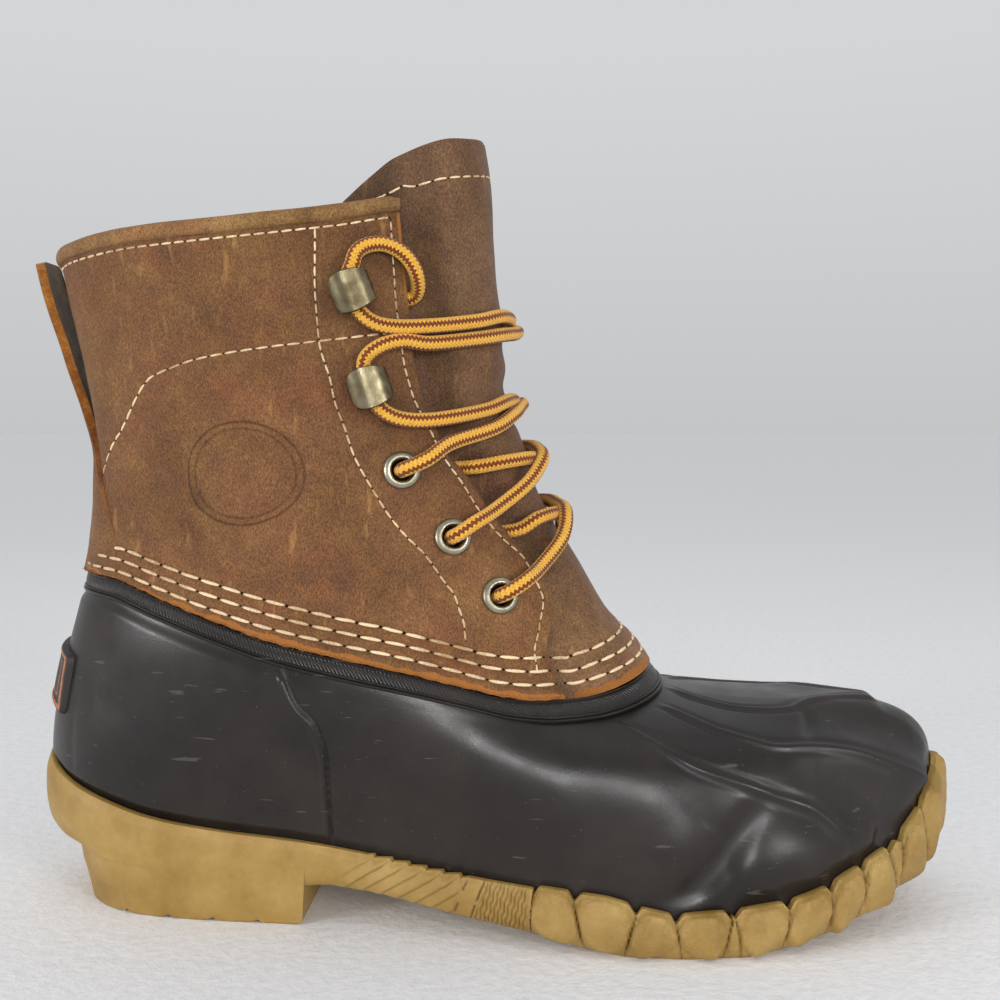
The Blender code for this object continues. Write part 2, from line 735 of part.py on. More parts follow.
# Eyelets and hooks sit square to the leather
def seat(angle, z, side):
    """Centre on the leather, outward normal and the direction up along it."""
    place = lambda a, h, o=0.0: shaft(side * a, h, o)
    centre = place(angle, z)
    normal = (place(angle, z, 0.001) - centre).normalized()
    up = (place(angle, z + 0.004) - place(angle, z - 0.004))
    up = (up - normal * up.dot(normal)).normalized()
    return centre, normal, up


def placed(rows, centre, normal, up):
    side_way = up.cross(normal)
    return [[centre + side_way * x + up * y + normal * h for x, y, h in row] for row in rows]


def ring(radius, height, n=20):
    return [(radius * math.cos(2 * math.pi * k / n), radius * math.sin(2 * math.pi * k / n), height)
            for k in range(n)]


SIDES = (("medial", 1.0), ("lateral", -1.0))
for side_name, side in SIDES:
    for k, (angle, z) in enumerate(EYELETS):
        centre, normal, up = seat(angle, z * COLLAR_HEIGHT, side)
        hole = loft(placed([ring(EYELET_BARREL / 2 + GAP, -0.006), ring(EYELET_BARREL / 2 + GAP, 0.006)],
                           centre, normal, up), "hole_%s_%d" % (side_name, k + 1), METAL, caps="bt", where=CUTTERS)
        boolean(upper, hole, "DIFFERENCE")
        boolean(tongue, hole, "DIFFERENCE")
        lift = GAP + 0.0005
        rows = [ring(EYELET_HOLE / 2, -LEATHER_WALL), ring(EYELET_BARREL / 2, -LEATHER_WALL),
                ring(EYELET_BARREL / 2, lift), ring(EYELET_FLANGE / 2, lift),
                ring(EYELET_FLANGE / 2 - 0.0003, lift + EYELET_FLANGE_THICKNESS * 0.7),
                ring(EYELET_BARREL / 2 + 0.0003, lift + EYELET_FLANGE_THICKNESS),
                ring(EYELET_HOLE / 2, lift + EYELET_FLANGE_THICKNESS * 0.6)]
        loft(placed(rows, centre, normal, up), "eyelet_%s_%d" % (side_name, k + 1), METAL, closed=True)
    for k, (angle, z) in enumerate(HOOKS):
        centre, normal, up = seat(angle, z * COLLAR_HEIGHT, side)
        # forward is towards the throat; the hook's mouth opens away from it
        fore = up.cross(normal) * side
        if fore.x < 0:
            fore = -fore
        path = [(-0.0056, 0.0), (-0.0015, 0.0), (0.0028, 0.0003), (0.0048, 0.0024), (0.0050, 0.0048),
                (0.0034, 0.0068), (0.0, HOOK_RISE), (-0.0044, 0.0071)]
        half = HOOK_WIDTH / 2
        rows = []
        # inside of the bend faces back, away from the throat
        for i, (f, h) in enumerate(path):
            a = path[max(i - 1, 0)]
            b = path[min(i + 1, len(path) - 1)]
            tx, th = b[0] - a[0], b[1] - a[1]
            ln = math.hypot(tx, th)
            nf, nh = -th / ln * HOOK_METAL, tx / ln * HOOK_METAL
            w = half * (1.0 if 1 < i < len(path) - 1 else 0.86)
            base = centre + normal * (GAP + 0.0008 + h) + fore * f
            top_side = base + fore * nf + normal * nh
            rows.append([base + up * w, base - up * w, top_side - up * w, top_side + up * w])
        loft(rows, "hook_%s_%d" % (side_name, k + 1), METAL, caps="bt")


# Laces: strands cross over the tongue, tuck under the facings and hold on the hooks
LACE_OVER = LACE_DIAMETER / 2 + 0.0009
LACE_UNDER = -LEATHER_WALL - GAP - LACE_DIAMETER / 2 - 0.0002
HOOK_CHANNEL = GAP + 0.0008 + HOOK_METAL + LACE_DIAMETER / 2 + 0.0002


def smooth_route(points, per=4):
    """Catmull-Rom through the points."""
    out = []
    n = len(points)
    for i in range(n - 1):
        p0 = points[max(i - 1, 0)]
        p1 = points[i]
        p2 = points[i + 1]
        p3 = points[min(i + 2, n - 1)]
        for k in range(per):
            t = k / per
            out.append(0.5 * (2 * p1 + (p2 - p0) * t + (2 * p0 - 5 * p1 + 4 * p2 - p3) * t * t
                              + (3 * p1 - p0 - 3 * p2 + p3) * t ** 3))
    out.append(points[-1])
    return out


def cord(route, name, where=PARTS):
    curve = bpy.data.curves.new(name + "_line", "CURVE")
    curve.dimensions = "3D"
    curve.bevel_depth = LACE_DIAMETER / 2
    curve.bevel_resolution = 2
    curve.use_fill_caps = True
    spline = curve.splines.new("POLY")
    spline.points.add(len(route) - 1)
    for point, p in zip(spline.points, route):
        point.co = (*p, 1)
    source = bpy.data.objects.new(name + "_line", curve)
    bpy.context.scene.collection.objects.link(source)
    bpy.context.view_layer.update()
    mesh = bpy.data.meshes.new_from_object(source.evaluated_get(bpy.context.evaluated_depsgraph_get()))
    bpy.data.objects.remove(source, do_unlink=True)
    bm = bmesh.new()
    bm.from_mesh(mesh)
    return finish(bm, name, CORD, where)


def on(side, angle, z, offset):
    return shaft(side * angle, z, offset)


# Peak height of each strand over the tongue, as a share of COLLAR_HEIGHT
RUN_COLUMNS = ("medial_peak", "lateral_peak")
RUNS = (
    (0.570, 0.556),
    (0.653, 0.638),
)
CROSS_LIFT = LACE_DIAMETER - 0.0008


def strand(side, start, stop, peak, lift):
    """From one eyelet over the tongue to under the other facing, below the next hole."""
    (a0, z0), (a1, z1) = start, stop
    z0 *= COLLAR_HEIGHT
    z1 *= COLLAR_HEIGHT
    peak *= COLLAR_HEIGHT
    rise = peak - z0
    edge0 = facing_angle(z0 + rise * 0.25)
    edge1 = facing_angle(z1)
    points = [on(side, a0, z0, -0.0018), on(side, a0, z0, 0.0014), on(side, a0 - 1.6, z0 + 0.0006, 0.0040),
              on(side, a0 - 6.5, z0 + rise * 0.12, 0.0054),
              on(side, edge0 + 1.0, z0 + rise * 0.27, LACE_OVER + 0.0010),
              on(side, edge0 * 0.62, z0 + rise * 0.56, LACE_OVER + lift * 0.7),
              on(side, edge0 * 0.32, z0 + rise * 0.82, LACE_OVER + 0.0003 + lift),
              on(side, 0.0, z0 + rise * 0.96, LACE_OVER + lift * 0.5),
              on(-side, edge1 * 0.32, peak, LACE_OVER + 0.0006),
              on(-side, edge1 * 0.62, peak - 0.0004, LACE_OVER * 0.84),
              on(-side, edge1 - 7.0, (peak + z1) / 2, -0.0014),
              on(-side, edge1 - 0.5, (peak + z1) / 2, LACE_UNDER),
              on(-side, a1 - 5.8, z1 + 0.0006, LACE_UNDER)]
    return smooth_route(points, 3)


def hook_run(side, start, stop, peak, lift, from_eyelet):
    """From an eyelet or the top of a hook to the foot of the opposite hook and up its channel."""
    (a0, z0), (a1, z1) = start, stop
    z0 *= COLLAR_HEIGHT
    z1 *= COLLAR_HEIGHT
    peak *= COLLAR_HEIGHT
    foot = z1 - HOOK_LENGTH / 2
    edge = 51.0
    if from_eyelet:
        points = [on(side, a0, z0, -0.0018), on(side, a0, z0, 0.0014), on(side, a0 - 1.6, z0 + 0.0006, 0.0040),
                  on(side, a0 - 7.0, z0 + (peak - z0) * 0.16, 0.0054)]
        low = z0
    else:
        low = z0 + HOOK_LENGTH / 2
        points = [on(side, a0 + 1.2, low - 0.0040, HOOK_CHANNEL), on(side, a0 + 0.9, low + 0.0022, HOOK_CHANNEL),
                  on(side, a0 - 3.0, low + 0.0062, HOOK_CHANNEL), on(side, a0 - 9.5, low + 0.0082, 0.0040)]
        low += 0.0040
    points += [on(side, edge - 4.0, low + (peak - low) * 0.42, LACE_OVER + 0.0006),
               on(side, edge * 0.56, low + (peak - low) * 0.66, LACE_OVER - 0.0004),
               on(side, edge * 0.28, low + (peak - low) * 0.86, LACE_OVER + lift * 0.12),
               on(side, 0.0, peak, LACE_OVER + lift * 0.55),
               on(-side, edge * 0.28, peak + (foot - peak) * 0.35, LACE_OVER + lift),
               on(-side, edge * 0.56, peak + (foot - 0.0030 - peak) * 0.70, LACE_OVER + lift * 0.5 - 0.0004),
               on(-side, edge - 4.0, foot - 0.0042, LACE_OVER + 0.0006),
               on(-side, a1 - 8.0, foot - 0.0046, 0.0040),
               on(-side, a1 - 2.4, foot - 0.0026, HOOK_CHANNEL),
               on(-side, a1 + 1.2, foot + 0.0030, HOOK_CHANNEL)]
    return smooth_route(points, 3)


def cross(number, over_route, under_route):
    over = cord(over_route, "lace_cross_%d" % number)
    below = cord(under_route, "lace_under_%d" % number, CUTTERS)
    boolean(over, below, "UNION")


for k, row in enumerate(RUNS):
    cross(k + 1, strand(1.0, EYELETS[k], EYELETS[k + 1], row[0], CROSS_LIFT),
          strand(-1.0, EYELETS[k], EYELETS[k + 1], row[1], 0.0))
# Height over the tongue's middle of the strands that run to the hooks
HOOK_RUN_COLUMNS = ("medial_peak", "lateral_peak")
HOOK_RUNS = (
    (0.709, 0.721),
    (0.820, 0.840),
)
cross(3, hook_run(1.0, EYELETS[2], HOOKS[0], HOOK_RUNS[0][0], CROSS_LIFT, True),
      hook_run(-1.0, EYELETS[2], HOOKS[0], HOOK_RUNS[0][1], 0.0, True))
cross(4, hook_run(1.0, HOOKS[0], HOOKS[1], HOOK_RUNS[1][0], CROSS_LIFT, False),
      hook_run(-1.0, HOOKS[0], HOOKS[1], HOOK_RUNS[1][1], 0.0, False))

# Lace ends: a loop over the top hook, tucked behind the facing. Angle, height share, height
# over the leather in lace diameters.
END_COLUMNS = ("angle", "z", "over")
END = (
    (67.3, 0.869, 1.02),
    (67.0, 0.889, 1.02),
    (66.6, 0.906, 0.95),
    (64.6, 0.925, 0.80),
    (60.5, 0.935, 0.66),
    (56.0, 0.928, 0.60),
    (51.5, 0.905, 0.58),
    (48.2, 0.882, 0.46),
    (46.4, 0.868, 0.05),
    (45.6, 0.858, -0.50),
    (48.2, 0.852, -1.06),
    (53.0, 0.850, -1.06),
)
for side_name, side in SIDES:
    route = [on(side, a, z * COLLAR_HEIGHT, h * LACE_DIAMETER) for a, z, h in END]
    cord(smooth_route(route, 3), "lace_end_" + side_name)
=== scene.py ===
# Looks of the duck boot: oiled leather shaft, dark rubber shell, gum sole, yellow laces.
import math
import bpy
import numpy as np
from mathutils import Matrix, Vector, noise


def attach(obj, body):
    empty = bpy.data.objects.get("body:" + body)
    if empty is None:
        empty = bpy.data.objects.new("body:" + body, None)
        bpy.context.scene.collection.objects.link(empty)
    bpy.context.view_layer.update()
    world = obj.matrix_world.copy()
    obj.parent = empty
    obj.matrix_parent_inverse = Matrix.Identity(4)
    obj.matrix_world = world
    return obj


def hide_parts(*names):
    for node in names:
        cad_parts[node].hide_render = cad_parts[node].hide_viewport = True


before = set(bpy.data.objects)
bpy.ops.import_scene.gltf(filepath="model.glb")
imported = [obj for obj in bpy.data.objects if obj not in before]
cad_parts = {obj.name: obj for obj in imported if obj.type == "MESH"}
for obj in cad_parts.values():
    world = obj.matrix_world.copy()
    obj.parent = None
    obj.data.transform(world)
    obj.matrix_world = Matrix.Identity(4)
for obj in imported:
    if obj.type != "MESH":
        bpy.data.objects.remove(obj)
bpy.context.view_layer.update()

bpy.ops.object.select_all(action="DESELECT")

# Sizes of the last, as in the part's source, in metres
SOLE_LENGTH = 0.2965
BALL_WIDTH = 0.1095
COLLAR_HEIGHT = 0.225
HEEL_SEAT = 0.057
GAP = 0.0003
FOXING_THICKNESS = 0.0031
SOLE_FLOOR = 0.0050
HEEL_BLOCK_BACK = 0.0115
HEEL_BLOCK_FRONT = 0.094
HEEL_BLOCK_RAKE = 0.0038
FOREFOOT_FLAT = 0.0009
RUBBER_WALL = 0.0024
BAND_HEIGHT = 0.0065
LEATHER_WALL = 0.0020
TONGUE_WALL = 0.0018
TONGUE_TUCK = LEATHER_WALL + 0.0005
LACE_DIAMETER = 0.0046
CORD_SIDES = 20
TONGUE_SINK = LACE_DIAMETER + 0.0009
INSOLE_THICKNESS = 0.0040
INSOLE_CLEARANCE = 0.0006
BINDING_THICKNESS = 0.0042
BINDING_HEIGHT = 0.0052
STRAP_THICKNESS = 0.0022
PLATE_MM = (40.0, 20.0)
EYELET_FLANGE = 0.0114
EYELET_HOLE = 0.0066
EYELET_BARREL = 0.0078
HOOK_LENGTH = 0.0115
HOOK_METAL = 0.0011
TONGUE_OVERLAP = 13.0
MM = 0.001
ROOT = "root"
SIDES = (("medial", 1.0), ("lateral", -1.0))

# Shares: x of SOLE_LENGTH, widths of BALL_WIDTH, heights of COLLAR_HEIGHT
OUTLINE_COLUMNS = ("x", "medial", "lateral", "under", "under_inset", "foxing_top")
OUTLINE = (
    (0.000, 0.000, 0.000, 0.0911, 0.0913, 0.2133),
    (0.010, 0.119, 0.119, 0.0911, 0.0776, 0.2067),
    (0.040, 0.210, 0.215, 0.0902, 0.0548, 0.1867),
    (0.091, 0.274, 0.279, 0.0867, 0.0411, 0.1644),
    (0.152, 0.301, 0.306, 0.0756, 0.0365, 0.1422),
    (0.223, 0.315, 0.315, 0.0680, 0.0365, 0.1289),
    (0.304, 0.324, 0.324, 0.0622, 0.0365, 0.1187),
    (0.384, 0.347, 0.356, 0.0533, 0.0365, 0.1058),
    (0.465, 0.393, 0.420, 0.0369, 0.0365, 0.0920),
    (0.546, 0.441, 0.484, 0.0231, 0.0365, 0.0836),
    (0.621, 0.475, 0.516, 0.0080, 0.0256, 0.0764),
    (0.695, 0.486, 0.516, 0.0000, 0.0219, 0.0569),
    (0.762, 0.466, 0.479, 0.0036, 0.0219, 0.0622),
    (0.823, 0.422, 0.416, 0.0133, 0.0292, 0.0711),
    (0.884, 0.354, 0.348, 0.0278, 0.0411, 0.1000),
    (0.938, 0.256, 0.256, 0.0500, 0.0502, 0.1310),
    (0.973, 0.158, 0.163, 0.0667, 0.0594, 0.1690),
    (0.993, 0.072, 0.076, 0.0770, 0.0639, 0.2000),
    (1.000, 0.000, 0.000, 0.0800, 0.0685, 0.2089),
)
SHELL_COLUMNS = ("turn", "rim", "low_bulge", "low_rise", "high_reach", "high_drop")
SHELL = (
    (0.000, 0.4800, 0.0000, 0.0800, 0.0135, 0.0711),
    (0.052, 0.4796, 0.0000, 0.0800, 0.0135, 0.0711),
    (0.129, 0.4782, 0.0091, 0.0844, 0.0135, 0.0800),
    (0.207, 0.4747, 0.0183, 0.0978, 0.0118, 0.0889),
    (0.297, 0.4533, 0.0320, 0.1067, 0.0101, 0.0978),
    (0.373, 0.4280, 0.0411, 0.1067, 0.0101, 0.0978),
    (0.446, 0.4009, 0.0457, 0.1022, 0.0101, 0.0889),
    (0.513, 0.3813, 0.0457, 0.1067, 0.0101, 0.0800),
    (0.576, 0.3631, 0.0411, 0.1067, 0.0135, 0.0756),
    (0.632, 0.3436, 0.0320, 0.1111, 0.0202, 0.0667),
    (0.678, 0.3271, 0.0228, 0.1244, 0.0337, 0.0578),
    (0.723, 0.3209, 0.0183, 0.1467, 0.0540, 0.0444),
    (0.768, 0.3213, 0.0137, 0.1644, 0.0742, 0.0356),
    (0.813, 0.3249, 0.0091, 0.1822, 0.0944, 0.0267),
    (0.859, 0.3307, 0.0091, 0.1750, 0.1130, 0.0290),
    (0.903, 0.3360, 0.0000, 0.1600, 0.1250, 0.0290),
    (0.940, 0.3396, 0.0000, 0.1420, 0.1330, 0.0290),
    (0.966, 0.3413, 0.0000, 0.1300, 0.1360, 0.0290),
    (1.000, 0.3422, 0.0000, 0.1240, 0.1360, 0.0290),
)
SHAFT = (
    (0.267, 0.0135, 0.7150, 0.4384, 0.86, 0.80),
    (0.311, 0.0169, 0.6948, 0.4338, 0.86, 0.80),
    (0.342, 0.0270, 0.6762, 0.4247, 0.86, 0.80),
    (0.378, 0.0371, 0.6610, 0.4155, 0.86, 0.80),
    (0.422, 0.0472, 0.6324, 0.3973, 0.88, 0.80),
    (0.476, 0.0583, 0.6088, 0.3790, 0.90, 0.80),
    (0.524, 0.0650, 0.5868, 0.3607, 0.92, 0.80),
    (0.582, 0.0690, 0.5599, 0.3470, 0.92, 0.80),
    (0.636, 0.0705, 0.5464, 0.3379, 0.92, 0.82),
    (0.680, 0.0668, 0.5346, 0.3342, 0.92, 0.84),
    (0.733, 0.0608, 0.5194, 0.3342, 0.90, 0.86),
    (0.813, 0.0480, 0.5177, 0.3397, 0.86, 0.88),
    (0.889, 0.0350, 0.5110, 0.3489, 0.84, 0.90),
    (0.956, 0.0252, 0.5069, 0.3562, 0.84, 0.90),
    (1.022, 0.0182, 0.5042, 0.3607, 0.84, 0.90),
    (1.111, 0.0095, 0.4958, 0.3653, 0.84, 0.90),
)
# Cut edge of the facings (height share, degrees from the front), then the top edges of the
# leather and of the tongue (degrees, height share)
FACING = ((0.300, 46.0), (0.383, 44.5), (0.419, 37.6), (0.460, 32.9), (0.507, 35.0), (0.556, 37.6),
          (0.622, 43.5), (0.653, 47.7), (0.733, 49.5), (0.796, 51.4), (0.900, 50.6), (1.050, 50.0))
COLLAR = ((0.0, 0.995), (50.0, 0.990), (69.0, 0.975), (100.0, 0.958), (124.0, 0.950), (146.0, 0.941),
          (180.0, 0.933))
TONGUE_TOP = ((0.0, 1.094), (19.0, 1.084), (32.0, 1.076), (49.0, 1.049), (57.5, 1.020), (68.0, 0.975))
# Back strap: height share, how far it stands off, half width in metres
STRAP = ((0.4805, 0.0002, 0.0290), (0.500, 0.0002, 0.0272), (0.547, 0.0003, 0.0241), (0.592, 0.0004, 0.0195),
         (0.636, 0.0005, 0.0135), (0.668, 0.0009, 0.0098), (0.700, 0.0019, 0.0086), (0.760, 0.0037, 0.0085),
         (0.840, 0.0054, 0.0085), (0.900, 0.0064, 0.0083), (0.925, 0.0064, 0.0078))
# Hardware centres and lace peaks: degrees from the front and height share
EYELETS = ((48.9, 0.459), (54.7, 0.538), (62.4, 0.628))
HOOKS = ((64.6, 0.739), (66.1, 0.865))
HOLDS = EYELETS + HOOKS
PEAKS = ((0.570, 0.556), (0.653, 0.638), (0.709, 0.721), (0.820, 0.840))
# Route of each lace end: degrees from the front, height share, stand-off in lace diameters
END = ((67.3, 0.869, 1.02), (66.6, 0.886, 1.02), (65.3, 0.899, 0.97), (63.9, 0.914, 0.85),
       (61.0, 0.924, 0.70), (56.9, 0.927, 0.62), (53.0, 0.921, 0.62), (50.0, 0.909, 0.58),
       (47.9, 0.893, 0.34), (46.8, 0.877, -0.28), (47.2, 0.866, -0.85), (49.5, 0.860, -1.06),
       (53.0, 0.858, -1.06))


# Camera at the photograph's angle, in radians below and beside +Y
LENS_MM = 41.39
CAMERA_PLACE = (0.1162, -0.3782, 0.1541)
CAMERA_PITCH = 0.06266
CAMERA_YAW = -0.05486
camera = bpy.data.cameras.new("photo_camera")
camera.lens = LENS_MM
camera.sensor_width = 36.0
camera.clip_start = 0.01
viewer = bpy.data.objects.new("photo_camera", camera)
bpy.context.scene.collection.objects.link(viewer)
viewer.location = CAMERA_PLACE
ahead = Vector((math.sin(CAMERA_YAW) * math.cos(CAMERA_PITCH), math.cos(CAMERA_YAW) * math.cos(CAMERA_PITCH),
                -math.sin(CAMERA_PITCH)))
viewer.rotation_euler = ahead.to_track_quat("-Z", "Y").to_euler()
bpy.context.scene.camera = viewer
bpy.context.scene.view_settings.view_transform = "Standard"


def blend(xs, ys, x):
    """Smooth curve through the rows that never overshoots them."""
    xs = np.asarray(xs, float)
    ys = np.asarray(ys, float)
    x = np.clip(x, xs[0], xs[-1])
    h = np.diff(xs)
    d = np.diff(ys) / h
    m = np.zeros(len(xs))
    m[0] = d[0]
    m[-1] = d[-1]
    ok = np.nonzero(d[:-1] * d[1:] > 0)[0]
    m[ok + 1] = 3 * (h[ok] + h[ok + 1]) / ((2 * h[ok + 1] + h[ok]) / d[ok]
                                           + (h[ok + 1] + 2 * h[ok]) / d[ok + 1])
    i = np.clip(np.searchsorted(xs, x, side="left") - 1, 0, len(xs) - 2)
    t = (x - xs[i]) / h[i]
    return (((2 * t - 3) * t * t + 1) * ys[i] + ((t - 2) * t + 1) * t * h[i] * m[i]
            + (3 - 2 * t) * t * t * ys[i + 1] + (t - 1) * t * t * h[i] * m[i + 1])


def rows(table, x, column=1):
    """Value of one column of a table of rows at x."""
    return blend([row[0] for row in table], [row[column] for row in table], x)


def station(table, names, name, t, odd=False, flip=False):
    """One column's value at t (0 heel, 1 toe), mirrored past both ends."""
    ys = [row[names.index(name)] for row in table]
    if flip:
        ys = [1 - y for y in ys]
    sign = -1.0 if odd else 1.0
    ys = [sign * ys[1]] + ys + [sign * ys[-2]]
    return blend(np.arange(len(ys)) - 1.0, ys, t * (len(table) - 1))


def step(a, b, x):
    t = np.clip((x - a) / (b - a), 0.0, 1.0)
    return t * t * (3 - 2 * t)


def bump(x, width):
    return np.exp(-(x / width) ** 2)


def unit(v):
    return v / np.maximum(np.linalg.norm(v, axis=-1, keepdims=True), 1e-9)


def stack(*parts):
    return np.stack(np.broadcast_arrays(*parts), axis=-1).astype(float)


# The last: sole edge, shaft sections and rubber shell, the same functions as in the source
def half_loop(s):
    """Loop share s (0 heel, 0.5 toe) to station t and side (-1 medial, +1 lateral)."""
    s = np.mod(s, 1.0)
    return np.where(s <= 0.5, 2 * s, 2 * (1 - s)), np.where(s <= 0.5, -1.0, 1.0)


def outline(s, inset=0.0):
    def raw(s):
        t, side = half_loop(s)
        x = station(OUTLINE, OUTLINE_COLUMNS, "x", t) * SOLE_LENGTH
        near = station(OUTLINE, OUTLINE_COLUMNS, "medial", t, odd=True)
        far = station(OUTLINE, OUTLINE_COLUMNS, "lateral", t, odd=True)
        return stack(x - HEEL_SEAT, side * np.where(side < 0, near, far) * BALL_WIDTH, 0.0)
    along = unit(raw(s + 0.004) - raw(s - 0.004))
    inward = stack(-along[..., 1], along[..., 0], 0.0)
    return raw(s) + inward * np.asarray(inset)[..., None]


def level(s, name):
    return station(OUTLINE, OUTLINE_COLUMNS, name, half_loop(s)[0]) * COLLAR_HEIGHT


def shaft(angle, z, offset=0.0):
    """Outer face of the shaft: degrees from the front (medial positive) and height."""
    def raw(angle, z):
        share = np.asarray(z) / COLLAR_HEIGHT
        back, front, half, front_full, back_full = (rows(SHAFT, share, k + 1) for k in range(5))
        c = np.cos(np.radians(angle))
        sn = np.sin(np.radians(angle))
        fore = (1 + c) / 2
        full = front_full * fore + back_full * (1 - fore)
        y = half * BALL_WIDTH * np.sign(sn) * np.abs(sn) ** full
        x = (front + back) / 2 * SOLE_LENGTH + (front - back) / 2 * SOLE_LENGTH * c - HEEL_SEAT
        return stack(x, -y, z)
    along = raw(angle + 1.0, z) - raw(angle - 1.0, z)
    up = raw(angle, z + 0.002) - raw(angle, z - 0.002)
    return raw(angle, z) + unit(np.cross(up, along)) * np.asarray(offset)[..., None]


def shaft_turn(s):
    """Angle round the shaft that a loop share of the shell rises to."""
    t, side = half_loop(s)
    near = station(SHELL, SHELL_COLUMNS, "turn", t, odd=True)
    far = 1 - station(SHELL, SHELL_COLUMNS, "turn", t, odd=True, flip=True)
    return -side * 180 * (1 - np.where(t < 0.5, near, far))


def rim(s):
    return station(SHELL, SHELL_COLUMNS, "rim", half_loop(s)[0]) * COLLAR_HEIGHT


def rim_height(angle):
    """Top of the rubber band below a point of the shaft."""
    return rows(SHELL, 1 - np.abs(angle) / 180) * COLLAR_HEIGHT


def shell_base(s, v):
    """Smooth rubber surface between the foxing (v 0) and the band (v 1)."""
    t, side = half_loop(s)
    angle = shaft_turn(s)
    top = rim(s)
    p3 = shaft(angle, top - BAND_HEIGHT, 0.0003)
    p0 = outline(s, FOXING_THICKNESS + GAP)
    p0[..., 2] = level(s, "foxing_top")
    along = unit(outline(s + 0.004) - outline(s - 0.004))
    out_low = stack(along[..., 1], -along[..., 0], 0.0)
    side_way = shaft(angle + 1.0, top) - shaft(angle - 1.0, top)
    out_high = unit(stack(-side_way[..., 1], side_way[..., 0], 0.0))
    foot = (p0 - p3) * np.array((1.0, 1.0, 0.0))
    out_high = unit(out_high + unit(foot) * step(0.012, 0.030, np.linalg.norm(foot, axis=-1))[..., None])
    bulge, rise, reach, drop = (station(SHELL, SHELL_COLUMNS, name, t)[..., None]
                                for name in SHELL_COLUMNS[2:])
    up = np.array((0.0, 0.0, 1.0))
    p1 = p0 + out_low * bulge * BALL_WIDTH + up * rise * COLLAR_HEIGHT
    p2 = p3 + out_high * reach * SOLE_LENGTH - up * drop * COLLAR_HEIGHT
    v = np.asarray(v)[..., None]
    w = 1 - v
    return p0 * w ** 3 + p1 * 3 * w * w * v + p2 * 3 * w * v * v + p3 * v ** 3


def facing_angle(z):
    return rows(FACING, z / COLLAR_HEIGHT)


def collar_height(angle):
    return rows(COLLAR, np.abs(angle)) * COLLAR_HEIGHT


def tongue_top(angle):
    return rows(TONGUE_TOP, np.abs(angle)) * COLLAR_HEIGHT


def tongue_offset(angle, z):
    """The tongue stands level with the leather in the middle and dips beside the facings."""
    clear = step(0.0, 17.0, facing_angle(z) - 3.5 - np.abs(angle))
    deep = step(0.088, 0.112, z) * (1 - 0.5 * step(0.205, 0.222, z))
    return -(TONGUE_TUCK + TONGUE_SINK * deep) * (1 - clear)


# Laces: the routes of the source
LACE_OVER = LACE_DIAMETER / 2 + 0.0002
LACE_UNDER = -LEATHER_WALL - GAP - LACE_DIAMETER / 2 - 0.0002
HOOK_CHANNEL = GAP + 0.0008 + HOOK_METAL + LACE_DIAMETER / 2 + 0.0002
CROSS_LIFT = LACE_DIAMETER - 0.0008


def on(side, angle, z, offset):
    return shaft(side * angle, z, offset)


def smooth_route(points, per=3):
    """Catmull-Rom through the points."""
    p = np.array(points)
    p = np.vstack((p[:1], p, p[-1:]))
    out = []
    for i in range(1, len(p) - 2):
        for t in np.arange(per) / per:
            out.append(0.5 * (2 * p[i] + (p[i + 1] - p[i - 1]) * t
                              + (2 * p[i - 1] - 5 * p[i] + 4 * p[i + 1] - p[i + 2]) * t * t
                              + (3 * p[i] - p[i - 1] - 3 * p[i + 1] + p[i + 2]) * t ** 3))
    out.append(p[-1])
    return np.array(out)


def out_of_eyelet(side, a0, z0):
    return [on(side, a0, z0, -0.0018), on(side, a0, z0, 0.0014), on(side, a0 - 1.6, z0 + 0.0006, 0.0040)]


def strand(side, start, stop, peak, lift):
    """From one eyelet over the tongue to under the other facing, below the next hole."""
    (a0, z0), (a1, z1) = start, stop
    z0, z1, peak = z0 * COLLAR_HEIGHT, z1 * COLLAR_HEIGHT, peak * COLLAR_HEIGHT
    rise = peak - z0
    edge0 = facing_angle(z0 + rise * 0.25)
    edge1 = facing_angle(z1)
    return out_of_eyelet(side, a0, z0) + [
            on(side, a0 - 6.5, z0 + rise * 0.12, 0.0054),
            on(side, edge0 + 1.0, z0 + rise * 0.27, LACE_OVER + 0.0010),
            on(side, edge0 * 0.62, z0 + rise * 0.56, LACE_OVER + lift * 0.7),
            on(side, edge0 * 0.32, z0 + rise * 0.82, LACE_OVER + 0.0003 + lift),
            on(side, 0.0, z0 + rise * 0.96, LACE_OVER + lift * 0.35),
            on(-side, edge1 * 0.32, peak, LACE_OVER + 0.0006),
            on(-side, edge1 * 0.62, peak - 0.0004, LACE_OVER * 0.84),
            on(-side, edge1 - 7.0, (peak + z1) / 2, -0.0014),
            on(-side, edge1 - 0.5, (peak + z1) / 2, LACE_UNDER),
            on(-side, a1 - 5.8, z1 + 0.0006, LACE_UNDER)]


